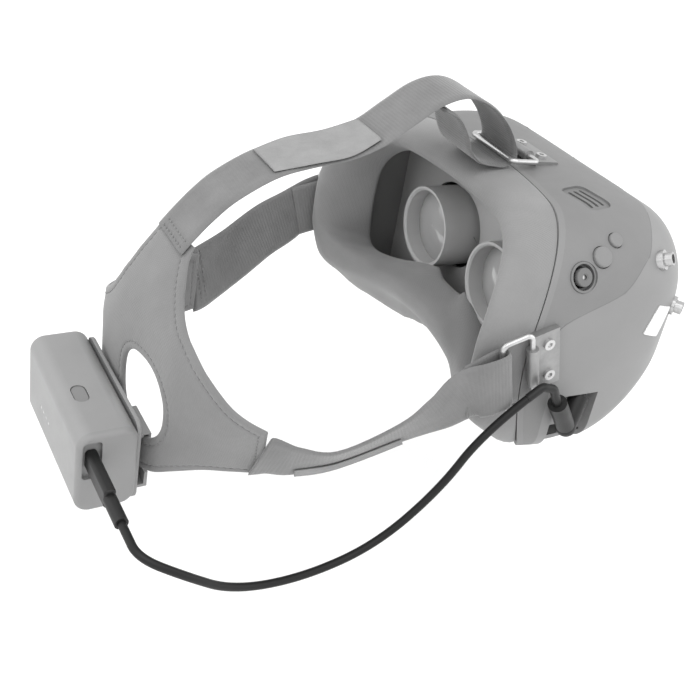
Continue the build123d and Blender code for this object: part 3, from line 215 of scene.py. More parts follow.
def hook_tape(name, level):
    """Hook-and-loop tape: a dense field of tiny hooks."""
    mat, tree, bsdf = new_tree(name)
    coords = tree.nodes.new("ShaderNodeTexCoord").outputs["Object"]
    worn_colour(tree, bsdf, coords, tint(level - 6), tint(level + 6), 90.0)
    worn_roughness(tree, bsdf, coords, 0.7, 0.95, 300.0)
    bsdf.inputs["Specular IOR Level"].default_value = 0.2
    cells = tree.nodes.new("ShaderNodeTexVoronoi")
    cells.inputs["Scale"].default_value = 900.0
    tree.links.new(coords, cells.inputs["Vector"])
    fine = add_noise(tree, coords, 1500.0, 3.0)
    add_bump(tree, bsdf, [(cells.outputs["Distance"], 1.0), (fine.outputs["Fac"], 0.5)], 0.5, 0.0003)
    return mat


def clear_glass(name):
    mat, tree, bsdf = new_tree(name)
    coords = tree.nodes.new("ShaderNodeTexCoord").outputs["Object"]
    worn_colour(tree, bsdf, coords, tint(158), tint(164), 30.0)
    worn_roughness(tree, bsdf, coords, 0.05, 0.12, 80.0)
    bsdf.inputs["Coat Weight"].default_value = 0.6
    bsdf.inputs["Specular IOR Level"].default_value = 0.7
    return mat


def label_sheet(name):
    """Printed sheet with generic bars and blocks and no lettering."""
    mat, tree, bsdf = new_tree(name)
    coords = tree.nodes.new("ShaderNodeTexCoord").outputs["Object"]
    tex = tree.nodes.new("ShaderNodeTexBrick")
    tex.inputs["Scale"].default_value = 420.0
    tex.inputs["Color1"].default_value = tint(236)
    tex.inputs["Color2"].default_value = tint(200)
    tex.inputs["Mortar"].default_value = tint(226)
    mapping = tree.nodes.new("ShaderNodeMapping")
    mapping.inputs["Rotation"].default_value = (0.35, 1.5708, 0.0)
    tree.links.new(coords, mapping.inputs["Vector"])
    tree.links.new(mapping.outputs[0], tex.inputs["Vector"])
    tree.links.new(tex.outputs["Color"], bsdf.inputs["Base Color"])
    worn_roughness(tree, bsdf, coords, 0.35, 0.5, 200.0)
    return mat


MAT = {
    "shell_front": plastic("front_shell_plastic", 126, 0.42, 1600.0, 0.05, 2, 0.45),
    "shell_middle": plastic("middle_shell_plastic", 117, 0.55, 1300.0, 0.14, 3, 0.35),
    "window_dark": plastic("window_plastic", 78, 0.14, 900.0, 0.02, 3, 0.6),
    "trim_dark": plastic("trim_plastic", 110, 0.6, 1300.0, 0.15, 4, 0.35),
    "frame_grey": plastic("frame_plastic", 124, 0.6, 1300.0, 0.14, 3, 0.3),
    "cushion_foam": foam_cover("cushion_cover", 127, 0.0010, 0.22, 4),
    # Interior grey (172) is painted lighter than the shells as painted fill light, making up for the
    # shade inside the cavity
    "interior_dark": plastic("interior_plastic_painted_fill", 172, 0.62, 1300.0, 0.14, 4, 0.3),
    "lens_clear": clear_glass("lens_glass"),
    "display": plastic("display_glass", 60, 0.15, 900.0, 0.02, 3, 0.5),
    "board_green": plastic("board_mask", 84, 0.4, 700.0, 0.1, 6, 0.4),
    "key_grey": plastic("key_plastic", 119, 0.5, 1500.0, 0.06, 3, 0.35),
    "stick_rubber": plastic("stick_rubber", 108, 0.8, 2000.0, 0.2, 4, 0.15),
    "metal_wire": metal("wire_steel", 190, 0.32),
    "metal_tab": metal("tab_steel", 150, 0.5),
    "brass_thread": metal("socket_metal", 175, 0.3),
    "label_white": label_sheet("label_sheet"),
    "webbing": webbing("strap_webbing", 112, bump=0.28),
    "webbing_hook": hook_tape("hook_tape", 138),
    "panel_pad": foam_cover("panel_cover", 117, 0.0009, 0.28, 4),
    "cable_rubber": plastic("cable_rubber", 16, 0.5, 1500.0, 0.1, 4, 0.3),
    "plug_rubber": plastic("plug_rubber", 26, 0.45, 1500.0, 0.1, 4, 0.3),
    "battery_shell": plastic("battery_plastic", 133, 0.42, 1600.0, 0.08, 3, 0.45),
    "battery_end": plastic("battery_end_plastic", 130, 0.5, 1400.0, 0.1, 3, 0.4),
    "cell_wrap": plastic("cell_wrap", 90, 0.3, 900.0, 0.05, 6, 0.5),
    "led_clear": plastic("led_plastic", 205, 0.25, 900.0, 0.02, 4, 0.5),
}
slot_of = {s["node"]: s["material_slot"] for s in frame["record"]["subparts"]}
for node_name, obj in nodes.items():
    obj.data.materials.clear()
    obj.data.materials.append(MAT["shell_front" if node_name == "power_jack" else slot_of[node_name]])


# ---------------- stage ----------------
floor_mesh = bpy.data.meshes.new("floor")
FLOOR_Z, FLOOR_HALF = -0.16, 6.0
floor_mesh.from_pydata(
    [(-FLOOR_HALF, -FLOOR_HALF, FLOOR_Z), (FLOOR_HALF, -FLOOR_HALF, FLOOR_Z),
     (FLOOR_HALF, FLOOR_HALF, FLOOR_Z), (-FLOOR_HALF, FLOOR_HALF, FLOOR_Z)], [], [(0, 1, 2, 3)])
floor = bpy.data.objects.new("floor", floor_mesh)
bpy.context.collection.objects.link(floor)
floor_mat, floor_tree, floor_bsdf = new_tree("floor_white")
floor_bsdf.inputs["Base Color"].default_value = (0.92, 0.92, 0.92, 1)
floor_bsdf.inputs["Roughness"].default_value = 0.9
floor_mesh.materials.append(floor_mat)

world = bpy.data.worlds.new("studio")
bpy.context.scene.world = world
world.use_nodes = True
world.node_tree.nodes["Background"].inputs[0].default_value = (1, 1, 1, 1)
world.node_tree.nodes["Background"].inputs[1].default_value = 1.1
bpy.context.scene.view_settings.view_transform = "Standard"


def softbox(name, at, target, size, power):
    light = bpy.data.lights.new(name, "AREA")
    light.shape = "SQUARE"
    light.size = size
    light.energy = power
    obj = bpy.data.objects.new(name, light)
    bpy.context.collection.objects.link(obj)
    obj.location = at
    obj.rotation_euler = (Vector(target) - Vector(at)).to_track_quat("-Z", "Y").to_euler()
    return obj


softbox("key", (-0.9, 0.2, 1.5), (0, 0, 0), 1.4, 14)
softbox("fill", (0.9, 1.3, 0.9), (0, 0, 0), 1.6, 7)
softbox("front", (-0.6, -1.4, 0.6), (0, 0, 0), 1.4, 7)
softbox("cavity", (-0.35, 0.75, 0.45), (0, -0.02, 0), 0.5, 1.2)


# ---------------- mesh helpers ----------------
def catmull(rows, steps):
    """Smooth rows of numbers between the given ones."""
    pts = np.array(rows, float)
    out = []
    last = len(pts) - 1
    for i in range(last):
        a, b = pts[max(i - 1, 0)], pts[i]
        c, d = pts[i + 1], pts[min(i + 2, last)]
        for k in range(steps):
            t = k / steps
            out.append(0.5 * (2 * b + (c - a) * t + (2 * a - 5 * b + 4 * c - d) * t * t
                              + (3 * b - a - 3 * c + d) * t**3))
    out.append(pts[-1])
    return np.array(out)


def piece_from(name, verts, faces, slot):
    mesh = bpy.data.meshes.new(name)
    mesh.from_pydata([tuple(v) for v in verts], [], faces)
    mesh.validate()
    obj = bpy.data.objects.new(name, mesh)
    bpy.context.collection.objects.link(obj)
    mesh.materials.append(MAT[slot])
    mesh.polygons.foreach_set("use_smooth", [True] * len(mesh.polygons))
    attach(obj, "goggles")
    return obj


def unit(v):
    return v / max(np.linalg.norm(v), 1e-12)


WEB_ACROSS = 14


def band(name, stations, thick, slot, steps=6, lift=0.0, edge=0.0018):
    """A woven strap along stations of (centre mm, across, width mm), with rolled selvedges."""
    rows = catmull([[*c, *unit(np.array(a, float)), w] for c, a, w in stations], steps)
    centre, across, width = rows[:, :3] * MM, rows[:, 3:6], rows[:, 6] * MM
    n = len(rows)
    tangent = np.gradient(centre, axis=0)
    length = np.concatenate([[0], np.cumsum(np.linalg.norm(np.diff(centre, axis=0), axis=1))])
    verts, uvs = [], []
    half = thick * MM / 2
    for i in range(n):
        t = unit(tangent[i])
        a = unit(across[i] - t * np.dot(across[i], t))
        nrm = np.cross(a, t)
        w = width[i] / 2
        ring = []
        for side in (1, -1):
            for k in range(WEB_ACROSS + 1):
                u = side * (2 * k / WEB_ACROSS - 1)
                flat = math.sqrt(max(0.0, 1 - abs(u) ** 14))
                rib = 0.16 * math.exp(-((abs(u) * w - (w - edge)) / (0.5 * edge)) ** 2)
                off = side * half * (0.82 * flat + 0.04 + rib * flat) + lift * MM
                ring.append((centre[i] + a * (u * w) + nrm * off, (u * w, length[i])))
        verts.extend(p for p, _ in ring)
        uvs.extend(q for _, q in ring)
    m = 2 * (WEB_ACROSS + 1)
    faces = []
    for i in range(n - 1):
        for k in range(m):
            j = (k + 1) % m
            faces.append((i * m + k, i * m + j, (i + 1) * m + j, (i + 1) * m + k))
    faces.append(tuple(range(m))[::-1])
    faces.append(tuple((n - 1) * m + k for k in range(m)))
    obj = piece_from(name, verts, faces, slot)
    layer = obj.data.uv_layers.new(name="metres")
    for loop in obj.data.loops:
        layer.data[loop.index].uv = uvs[loop.vertex_index]
    return obj


STITCH_PITCH, STITCH_R = 0.003, 0.00028
STITCH_GAP, STITCH_LENGTH = 0.2, 0.62
ROUND = np.linspace(0, 2 * math.pi, 7)[:-1]


def tube_faces(base, rings):
    """Faces of a six-sided tube whose rings start at one vertex number, with both ends closed."""
    faces = []
    for i in range(rings - 1):
        for k in range(6):
            j, a = (k + 1) % 6, base + i * 6
            faces.append((a + k, a + j, a + 6 + j, a + 6 + k))
    faces.append(tuple(base + k for k in range(6))[::-1])
    faces.append(tuple(base + 6 * (rings - 1) + k for k in range(6)))
    return faces


def stitch_row(name, points, slot):
    """A row of short raised stitches along points in metres, each (place, outward)."""
    places = np.array([p for p, _ in points], float)
    outward = np.array([q for _, q in points], float)
    run = np.concatenate([[0], np.cumsum(np.linalg.norm(np.diff(places, axis=0), axis=1))])
    verts, faces = [], []
    for s in range(int(run[-1] / STITCH_PITCH)):
        at = (s + STITCH_GAP) * STITCH_PITCH
        to = at + STITCH_LENGTH * STITCH_PITCH
        base = len(verts)
        for f in np.linspace(0, 1, 5):
            d = at + (to - at) * f
            p = np.array([np.interp(d, run, places[:, k]) for k in range(3)])
            o = unit(np.array([np.interp(d, run, outward[:, k]) for k in range(3)]))
            q = np.array([np.interp(min(d + 1e-4, run[-1]), run, places[:, k]) for k in range(3)])
            t = unit(q - p) if np.linalg.norm(q - p) > 0 else unit(places[-1] - places[0])
            side = np.cross(t, o)
            r = STITCH_R * (0.55 + 0.45 * math.sin(math.pi * f))
            hump = o * (0.7 * STITCH_R * math.sin(math.pi * f))
            verts.extend(p + hump + (side * math.cos(a) + o * math.sin(a)) * r for a in ROUND)
        faces.extend(tube_faces(base, 5))
    return piece_from(name, verts, faces, slot)


# ---------------- power cable ----------------
# Millimetres; the plugs themselves are the CAD's
CABLE_R = 1.85
BAT_POS = np.array((-1.0, 162.2, -64.0))
BAT_TILT, BAT_YAW = math.radians(-4.0), math.radians(3.0)
tilt_cos, tilt_sin = math.cos(BAT_TILT), math.sin(BAT_TILT)
yaw_cos, yaw_sin = math.cos(BAT_YAW), math.sin(BAT_YAW)
bat_x = np.array((tilt_cos * yaw_cos, tilt_cos * yaw_sin, -tilt_sin))
bat_z = np.array((tilt_sin * yaw_cos, tilt_sin * yaw_sin, tilt_cos))
bat_y = np.cross(bat_z, bat_x)


def on_battery(x, y, z):
    """A point given in the battery's own frame, in millimetres."""
    return BAT_POS + bat_x * x + bat_y * y + bat_z * z


USB_Y, USB_Z = 7.0, 8.0
ROUTE = [
    on_battery(-67.0, USB_Y, USB_Z), on_battery(-81.0, USB_Y, USB_Z), on_battery(-95.0, USB_Y, USB_Z),
    (-103.5, 147.5, -70.5), (-100.0, 124.0, -89.0), (-97.0, 90.0, -94.5), (-95.5, 55.0, -86.5),
    (-96.4, 28.0, -60.0), (-98.2, 14.0, -31.0), (-98.2, -5.5, -15.7),
]
curve = bpy.data.curves.new("power_cable", "CURVE")
curve.dimensions = "3D"
curve.bevel_depth = CABLE_R * MM
curve.bevel_resolution = 6
curve.resolution_u = 24
curve.use_fill_caps = True
spline = curve.splines.new("NURBS")
spline.points.add(len(ROUTE) - 1)
for point, place in zip(spline.points, ROUTE):
    point.co = (*(np.array(place) * MM), 1)
spline.order_u = 3
spline.use_endpoint_u = True
cable = bpy.data.objects.new("power_cable", curve)
bpy.context.collection.objects.link(cable)
curve.materials.append(MAT["cable_rubber"])
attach(cable, "goggles")
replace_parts(cable, "cable")

# ---------------- straps ----------------
RING_TILT = math.radians(17.0)
STRAP_T, TOP_W, RING_W = 1.8, 31.0, 30.0


def loop_stations(side, width):
    """Webbing sewn back on itself round the ring's free bar: inner layer, fold, outer layer."""
    origin = np.array((side * 91.6, -9.5, -4.0))
    pull = np.array((0, math.cos(RING_TILT), -math.sin(RING_TILT)))
    out = np.array((side, 0, 0))
    upward = (0, math.sin(RING_TILT), math.cos(RING_TILT))
    line = [(33.0, -1.3), (27.0, -1.9), (21.0, -2.8), (16.0, -3.05), (13.1, -2.2), (12.15, 0.0),
            (13.1, 2.2), (16.0, 3.0), (20.0, 2.9), (25.0, 2.2)]
    return [(origin + pull * u + out * v, upward, width) for u, v in line]


RIGHT_RUN = [
    ((-91.0, 21.5, -14.5), (-0.07, 0.29, 0.955), 30.5),
    ((-88.6, 31.0, -23.5), (-0.28, 0.28, 0.92), 31.5),
    ((-85.0, 46.0, -33.5), (-0.52, 0.31, 0.80), 33.0),
    ((-80.0, 73.0, -46.0), (-0.60, 0.30, 0.74), 36.0),
    ((-74.6, 90.0, -48.4), (-0.50, 0.25, 0.83), 37.5),
    ((-70.9, 99.5, -47.2), (-0.44, 0.21, 0.87), 38.0),
    ((-69.7, 104.5, -46.6), (-0.42, 0.20, 0.89), 38.0),
]
LEFT_RUN = [
    ((91.4, 21.5, -13.6), (0.01, 0.28, 0.96), 30.5),
    ((89.2, 29.0, -16.8), (0.04, 0.24, 0.97), 31.5),
    ((86.0, 43.0, -22.5), (0.05, 0.17, 0.984), 33.0),
    ((80.0, 62.0, -32.5), (0.05, 0.10, 0.99), 35.0),
    ((72.6, 81.0, -39.5), (0.05, 0.05, 0.99), 38.0),
    ((71.2, 85.0, -40.4), (0.03, 0.02, 1.0), 38.0),
]
right_strap = band("right_strap_webbing", loop_stations(-1, RING_W) + RIGHT_RUN, STRAP_T, "webbing")
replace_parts(right_strap, "right_strap")
left_strap = band("left_strap_webbing", loop_stations(1, RING_W) + LEFT_RUN, STRAP_T, "webbing")
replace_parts(left_strap, "left_strap")

TOP_LINE = [
    (9.0, 82.6), (1.5, 79.2), (-4.5, 72.0), (-9.0, 63.5), (-15.0, 58.2), (-23.0, 56.1),
    (-29.5, 55.7), (-34.4, 59.6), (-32.6, 66.0), (-25.5, 76.0), (-15.0, 84.2), (-2.0, 88.5),
    (11.0, 85.5), (24.0, 77.0), (37.0, 68.0), (52.0, 62.0), (70.0, 59.0), (86.0, 55.0),
    (102.5, 46.0), (112.0, 38.0), (120.0, 29.4), (125.6, 22.6),
]
TOP_STATIONS = [((0, y, z), (1, 0, 0), TOP_W) for y, z in TOP_LINE]
top_strap = band("top_strap_webbing", TOP_STATIONS, STRAP_T, "webbing")
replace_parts(top_strap, "top_strap")


END_INSET, ROW_STEP, ROW_MARGIN, WEB_LIFT = 1.8, 3.2, 2.5, 0.95


def end_stitches(name, stations, side):
    """Two rows of stitching across a strap near its last station, on one side of it."""
    (c0, _, _), (c1, a1, w1) = stations[-2], stations[-1]
    c0, c1 = np.array(c0, float), np.array(c1, float)
    t = unit(c1 - c0)
    a = unit(np.array(a1, float) - t * np.dot(a1, t))
    out = np.cross(a, t)
    for i in range(2):
        mid = c1 - t * (END_INSET + ROW_STEP * i) + out * (side * WEB_LIFT)
        reach = a * (w1 / 2 - ROW_MARGIN)
        points = [(e * MM, out * side) for e in np.linspace(mid - reach, mid + reach, 8)]
        stitch_row(f"{name}_{i}", points, "webbing")


end_stitches("top_strap_stitches", TOP_STATIONS, 1)
end_stitches("right_strap_stitches", RIGHT_RUN, -1)
end_stitches("left_strap_stitches", LEFT_RUN, 1)


TAPE_CORNER, TAPE_EDGE_M, TAPE_STEPS = 3.0, 0.0009, 8
TOP_TAPE_W, SIDE_TAPE_W = 30.6, 13.0


def tape(name, stations, thick, lift, stands_for):
    """A sewn patch of tape on a strap: a band whose ends are narrowed, as if rounded off in plan."""
    (c0, a0, w0), (c1, a1, w1) = stations[0], stations[-1]
    trimmed = [(c0, a0, w0 - 2 * TAPE_CORNER), *stations[1:-1], (c1, a1, w1 - 2 * TAPE_CORNER)]
    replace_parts(band(name, trimmed, thick, "webbing_hook", TAPE_STEPS, lift, TAPE_EDGE_M), stands_for)


def lower_strip(stations, width):
    """The same run, kept to a narrow strip along its lower edge."""
    strip = []
    for c, a, w in stations:
        down = -unit(np.array(a, float)) * ((w - width) / 2 - 1.2)
        strip.append((tuple(np.array(c) + down), a, width))
    return strip


top_patch = [(c, a, TOP_TAPE_W) for c, a, _ in TOP_STATIONS[14:18]]
tape("top_hook_tape", top_patch, 1.5, 1.75, "top_pad")
tape("right_hook_tape", lower_strip(RIGHT_RUN[2:5], SIDE_TAPE_W), 1.4, 1.7, "right_pad")
tape("left_hook_tape", lower_strip(LEFT_RUN[2:5], SIDE_TAPE_W), 1.4, -1.7, "left_pad")


# ---------------- rear panel ----------------
# Middle line of the pad seen from above, and how far it leans forward as it rises
PANEL_PLAN = [
    (-68.5, 102.0), (-58.0, 119.0), (-38.0, 136.5), (0.0, 143.6), (39.0, 140.5), (60.0, 120.5),
    (71.5, 84.0),
]
PANEL_LEAN = [
    (-30.0, 0.0), (-20.0, 0.6), (-12.0, 1.6), (-7.0, 2.4), (1.0, 5.0), (11.5, 11.0), (22.5, 19.5),
    (34.0, 30.0),
]
plan = catmull(PANEL_PLAN, 40)
plan_run = np.concatenate([[0], np.cumsum(np.linalg.norm(np.diff(plan, axis=0), axis=1))])
plan_run -= np.interp(0, plan[:, 0], plan_run)
NEAR_END, FAR_END = plan_run[0], plan_run[-1]


def ease(t):
    t = np.clip(t, 0, 1)
    return t * t * (3 - 2 * t)


def on_panel(flat):
    """Places on the pad's middle surface for (distance round, height) in millimetres."""
    s, z = flat[:, 0], flat[:, 1]
    turn = ease((-s - 25) / (-NEAR_END - 25))
    x = np.interp(s, plan_run, plan[:, 0]) - 0.47 * turn * (z + 46)
    y = np.interp(s, plan_run, plan[:, 1]) + 0.22 * turn * (z + 46)
    y = y - np.interp(z, [a for a, _ in PANEL_LEAN], [b for _, b in PANEL_LEAN])
    return np.stack([x, y, z], 1)


def panel_out(flat):
    """Outward directions on the pad."""
    ds, dz = np.array((1.5, 0)), np.array((0, 1.5))
    n = np.cross(on_panel(flat + ds) - on_panel(flat - ds), on_panel(flat + dz) - on_panel(flat - dz))
    return -n / np.linalg.norm(n, axis=1, keepdims=True)


def even(points, pitch):
    """Points at an even pitch along an open line, without its last point."""
    run = np.concatenate([[0], np.cumsum(np.linalg.norm(np.diff(points, axis=0), axis=1))])
    at = np.linspace(0, run[-1], max(2, int(round(run[-1] / pitch)) + 1))[:-1]
    return np.stack([np.interp(at, run, points[:, k]) for k in range(points.shape[1])], 1)


PANEL_RUNS = [
    [(-15.0, 25.5), (15.0, 25.5)],
    [(15.0, 25.5), (15.0, 19.0), (15.3, 10.0), (17.5, 0.0), (22.5, -8.5), (31.0, -15.5), (43.0, -21.5),
     (58.0, -25.0), (75.0, -25.8), (FAR_END, -24.0)],
    [(FAR_END, -24.0), (FAR_END, -57.5)],
    [(FAR_END, -57.5), (84.0, -60.5), (60.0, -67.0), (34.0, -78.0), (0.0, -84.0), (-30.0, -77.5),
     (-46.0, -70.5), (-59.0, -66.3), (-72.0, -64.6), (NEAR_END, -63.8)],
    [(NEAR_END, -63.8), (NEAR_END, -28.6)],
    [(NEAR_END, -28.6), (-76.0, -22.8), (-67.0, -16.3), (-57.0, -8.0), (-47.0, -0.6), (-36.0, 6.2),
     (-26.5, 14.3), (-19.0, 20.5), (-15.0, 25.5)],
]
HOLE_AT, HOLE_HALF, HOLE_SQUARE = (-20.6, -41.5), (18.2, 19.5), 0.86
STITCH_INSET, PAD_LIFT, PAD_DEPTH = 3.6, 0.95, 2.4
edge_loop = np.concatenate([even(catmull(run, 10), 1.6) for run in PANEL_RUNS])[::-1]
ring_turn = np.linspace(0, 2 * math.pi, 121)[:-1]
hole_cos, hole_sin = np.cos(ring_turn), np.sin(ring_turn)
hole_loop = np.stack([
    HOLE_AT[0] + HOLE_HALF[0] * np.sign(hole_cos) * np.abs(hole_cos) ** HOLE_SQUARE,
    HOLE_AT[1] + HOLE_HALF[1] * np.sign(hole_sin) * np.abs(hole_sin) ** HOLE_SQUARE,
], 1)


def loop_inward(loop):
    """Unit normals on the left of a closed loop."""
    t = np.roll(loop, -1, 0) - np.roll(loop, 1, 0)
    t /= np.linalg.norm(t, axis=1, keepdims=True)
    return np.stack([-t[:, 1], t[:, 0]], 1)


def edge_gap(points, loops):
    """Distance from each point to the nearest loop edge."""
    best = np.full(len(points), 1e9)
    for loop in loops:
        a, b = loop, np.roll(loop, -1, 0)
        ab = b - a
        for i in range(len(a)):
            ap = points - a[i]
            f = np.clip(ap @ ab[i] / (ab[i] @ ab[i]), 0, 1)
            best = np.minimum(best, np.linalg.norm(ap - f[:, None] * ab[i], axis=1))
    return best


def inside(points, loop):
    """Even-odd test against one closed loop."""
    a, b = loop, np.roll(loop, -1, 0)
    hit = np.zeros(len(points), bool)
    for (ax, ay), (bx, by) in zip(a, b):
        if ay == by:
            continue
        cross = (ay > points[:, 1]) != (by > points[:, 1])
        hit ^= cross & (points[:, 0] < (bx - ax) * (points[:, 1] - ay) / (by - ay) + ax)
    return hit


def padded_sheet(name, outer, hole, place, outward, depth, slot):
    """A sewn pad: two skins that meet at a rounded edge, sunk along the stitching line."""
    loops = [outer, hole]
    sides = []
    for loop in loops:
        inward = loop_inward(loop)
        probe = loop + inward * 0.3
        good = inside(probe, outer) & ~inside(probe, hole)
        sides.append(inward if good.mean() > 0.5 else -inward)
    extra = []
    for d in (0.25, 0.7, 1.3, 2.1, 3.0, 3.35, 3.6, 3.85, 4.3, 5.4):
        for loop, inward in zip(loops, sides):
            extra.append(loop + inward * d)
    extra = np.concatenate(extra)
    lo, hi = outer.min(0), outer.max(0)
    gx, gy = np.meshgrid(np.arange(lo[0], hi[0], 2.6), np.arange(lo[1], hi[1], 2.6))
    gx = gx + 1.3 * (np.arange(gx.shape[0]) % 2)[:, None]
    grid = np.stack([gx.ravel(), gy.ravel()], 1)
    gap_grid = edge_gap(grid, loops)
    grid = grid[(gap_grid > 6.4) & inside(grid, outer) & ~inside(grid, hole)]
    gap_extra = edge_gap(extra, loops)
    keep = inside(extra, outer) & ~inside(extra, hole) & (gap_extra > 0.2)
    flat = np.concatenate([outer, hole, extra[keep], grid])
    n, m = len(outer), len(hole)
    edges = [(i, (i + 1) % n) for i in range(n)] + [(n + i, n + (i + 1) % m) for i in range(m)]
    found = geometry.delaunay_2d_cdt([Vector(p) for p in flat], edges, [], 0, 1e-4)
    flat = np.array([tuple(v) for v in found[0]])
    tris = np.array([f for f in found[2] if len(f) == 3])
    mid = flat[tris].mean(1)
    tris = tris[inside(mid, outer) & ~inside(mid, hole)]
    gap = edge_gap(flat, loops)
    gap[gap < 0.02] = 0
    h = depth / 2 * np.sqrt(1 - (1 - np.minimum(gap / 1.6, 1)) ** 2)
    h = h + 0.4 * ease((gap - 3) / 9) - 0.3 * np.exp(-((gap - STITCH_INSET) / 0.4) ** 2)
    base, out = place(flat), outward(flat)
    count = len(flat)
    rim = gap == 0
    lower_of = np.arange(count) + count
    lower_of[rim] = np.arange(count)[rim]
    verts = np.concatenate([base + out * h[:, None], base - out * h[:, None]]) * MM
    faces = [tuple(f) for f in tris] + [tuple(lower_of[f][::-1]) for f in tris]
    used = sorted({v for f in faces for v in f})
    slim = {v: i for i, v in enumerate(used)}
    obj = piece_from(name, verts[used], [tuple(slim[v] for v in f) for f in faces], slot)
    return obj, sides


panel, panel_sides = padded_sheet(
    "rear_panel_pad", edge_loop, hole_loop, on_panel, panel_out, PAD_DEPTH, "panel_pad")
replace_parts(panel, "rear_panel")
for label, loop, inward in zip(("rim", "hole"), (edge_loop, hole_loop), panel_sides):
    row = loop + inward * STITCH_INSET
    row = np.concatenate([row, row[:1]])
    for face, sign in (("outer", 1), ("inner", -1)):
        out = panel_out(row) * sign
        row_at = (on_panel(row) + out * PAD_LIFT) * MM
        stitch_row(f"panel_stitches_{label}_{face}", list(zip(row_at, out)), "panel_pad")


# ---------------- face cushion ----------------
# Outline by depth: (y, half width, top, bottom, top corner radius, bottom corner radius)
SKIN_ROWS = [(26, 85, 51, -51, 40, 26), (4, 86, 52, -54, 40, 22), (-18, 88, 53, -58, 39, 14),
             (-40, 89.5, 54.5, -58.5, 38, 12)]
# The nose recess is a half ellipse on this height: (y, half width, rise)
NOSE_Z = -60.0
NOSE = [(30, 95, 50), (-2, 84, 28), (-14, 60, 24), (-26, 34, 20), (-43, 15, 13), (-64, 10, 8)]
RING_N, RING_MID = 300, 8.0
ring_ways = np.linspace(0, 2 * math.pi, RING_N + 1)[:-1]


def saddle(x, z, y0, plan_r, side_r):
    """Depth of a saddle surface that wraps round a head."""
    sink = side_r - np.sqrt(side_r**2 - z**2)
    return y0 + plan_r - np.sqrt((plan_r + sink) ** 2 - x**2)


def full_outline(y, inset):
    """The cushion's closed outline at one depth, seen from its middle, softened at its corners."""
    rows = np.array(SKIN_ROWS, float)[::-1]
    half, top, low, r_top, r_low = (np.interp(y, rows[:, 0], rows[:, k]) for k in range(1, 6))
    half, top, low = half - inset, top - inset, low + inset
    r_top, r_low = max(r_top - inset, 10), max(r_low - 0.5 * inset, 10)
    turns = np.linspace(0, math.pi / 2, 40)
    quarter = [(half - r_top + r_top * math.sin(a), top - r_top + r_top * math.cos(a)) for a in turns]
    quarter += [(half - r_low + r_low * math.cos(a), low + r_low - r_low * math.sin(a)) for a in turns]
    pts = np.array([(0, top), *quarter, (0, low)])
    dense = even(pts, 0.5)
    dense = np.concatenate([dense, [(0, low)]])
    way = np.arctan2(dense[:, 0], dense[:, 1] - RING_MID)
    reach = np.hypot(dense[:, 0], dense[:, 1] - RING_MID)
    fold = np.minimum(ring_ways, 2 * math.pi - ring_ways)
    r = np.interp(fold, way, reach)
    at = [row[0] - (inset if i else 0) for i, row in enumerate(NOSE)]
    wide = np.interp(y, at[::-1], [row[1] for row in NOSE][::-1]) + inset
    high = np.interp(y, at[::-1], [row[2] for row in NOSE][::-1]) + inset
    sx, sz, drop = np.sin(fold) / wide, np.cos(fold) / high, (RING_MID - NOSE_Z) / high
    qa, qb, qc = sx**2 + sz**2, sz * drop, drop**2 - 1
    root = qb**2 - qa * qc
    cut = (-qb - np.sqrt(np.maximum(root, 0))) / qa
    r = np.where((root > 0) & (cut > 0), np.minimum(r, cut), r)
    loop = np.stack([r * np.sin(ring_ways), RING_MID + r * np.cos(ring_ways)], 1)
    for _ in range(14):
        loop = 0.5 * loop + 0.25 * (np.roll(loop, 1, 0) + np.roll(loop, -1, 0))
    return loop


CUSHION_T = 13.0
depths = np.arange(-46.0, 30.1, 2.0)
outer_loops = np.array([full_outline(y, 0.0) for y in depths])
inner_loops = np.array([full_outline(y, CUSHION_T) for y in depths])
# The pad's section: share of the way in from its outline, share of the way back to the face
CUSHION_SECTION = [
    (0.012, 0.0), (0.0, 0.015), (-0.02, 0.15), (-0.03, 0.4), (-0.01, 0.6), (0.03, 0.76), (0.1, 0.89),
    (0.21, 0.97), (0.34, 1.0), (0.48, 0.985), (0.62, 0.93), (0.75, 0.83), (0.88, 0.7), (1.0, 0.55),
    (1.12, 0.4), (1.24, 0.25), (1.34, 0.12), (1.36, 0.04), (1.3, 0.0), (0.9, 0.0), (0.5, 0.0),
    (0.2, 0.0),
]
ring_n = outer_loops.shape[1]


def at_depth(loops, y):
    """Each ring point taken at its own depth."""
    place = np.clip((y - depths[0]) / 2.0, 0, len(depths) - 1.001)
    i = place.astype(int)
    f = (place - i)[:, None]
    k = np.arange(ring_n)
    return loops[i, k] * (1 - f) + loops[i + 1, k] * f


CHEEK_FROM, CHEEK_TO, CHEEK_KEEP = 38.0, 66.0, 0.1


def cheek_rear(x, z):
    """Depth of the face contact surface; the lower cheeks stay full instead of falling away."""
    full = ease((np.abs(x) - CHEEK_FROM) / (CHEEK_TO - CHEEK_FROM))
    keep = np.where(z < 0, 1 - (1 - CHEEK_KEEP) * full, 1.0)
    return saddle(x, z * np.sqrt(keep), -2.0, 195.0, 110.0)


cushion_rings = []
for w, depth in CUSHION_SECTION:
    y = np.full(ring_n, -12.0)
    for _ in range(40):
        a, b = at_depth(outer_loops, y), at_depth(inner_loops, y)
        xz = a + (b - a) * w
        front = saddle(xz[:, 0], xz[:, 1], -27.0, 218.0, 160.0)
        rear = cheek_rear(xz[:, 0], xz[:, 1])
        y = 0.6 * y + 0.4 * (front + (rear - front) * depth + 0.2)
    cushion_rings.append(np.stack([xz[:, 0], y, xz[:, 1]], 1))
cushion_rings = np.array(cushion_rings)
cushion_verts = cushion_rings.reshape(-1, 3) * MM
sect_n = len(CUSHION_SECTION)
cushion_faces = []
for i in range(sect_n):
    for k in range(ring_n):
        a, b = i * ring_n, ((i + 1) % sect_n) * ring_n
        j = (k + 1) % ring_n
        cushion_faces.append((a + k, b + k, b + j, a + j))
cushion = piece_from("face_cushion_pad", cushion_verts, cushion_faces, "cushion_foam")
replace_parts(cushion, "face_cushion")
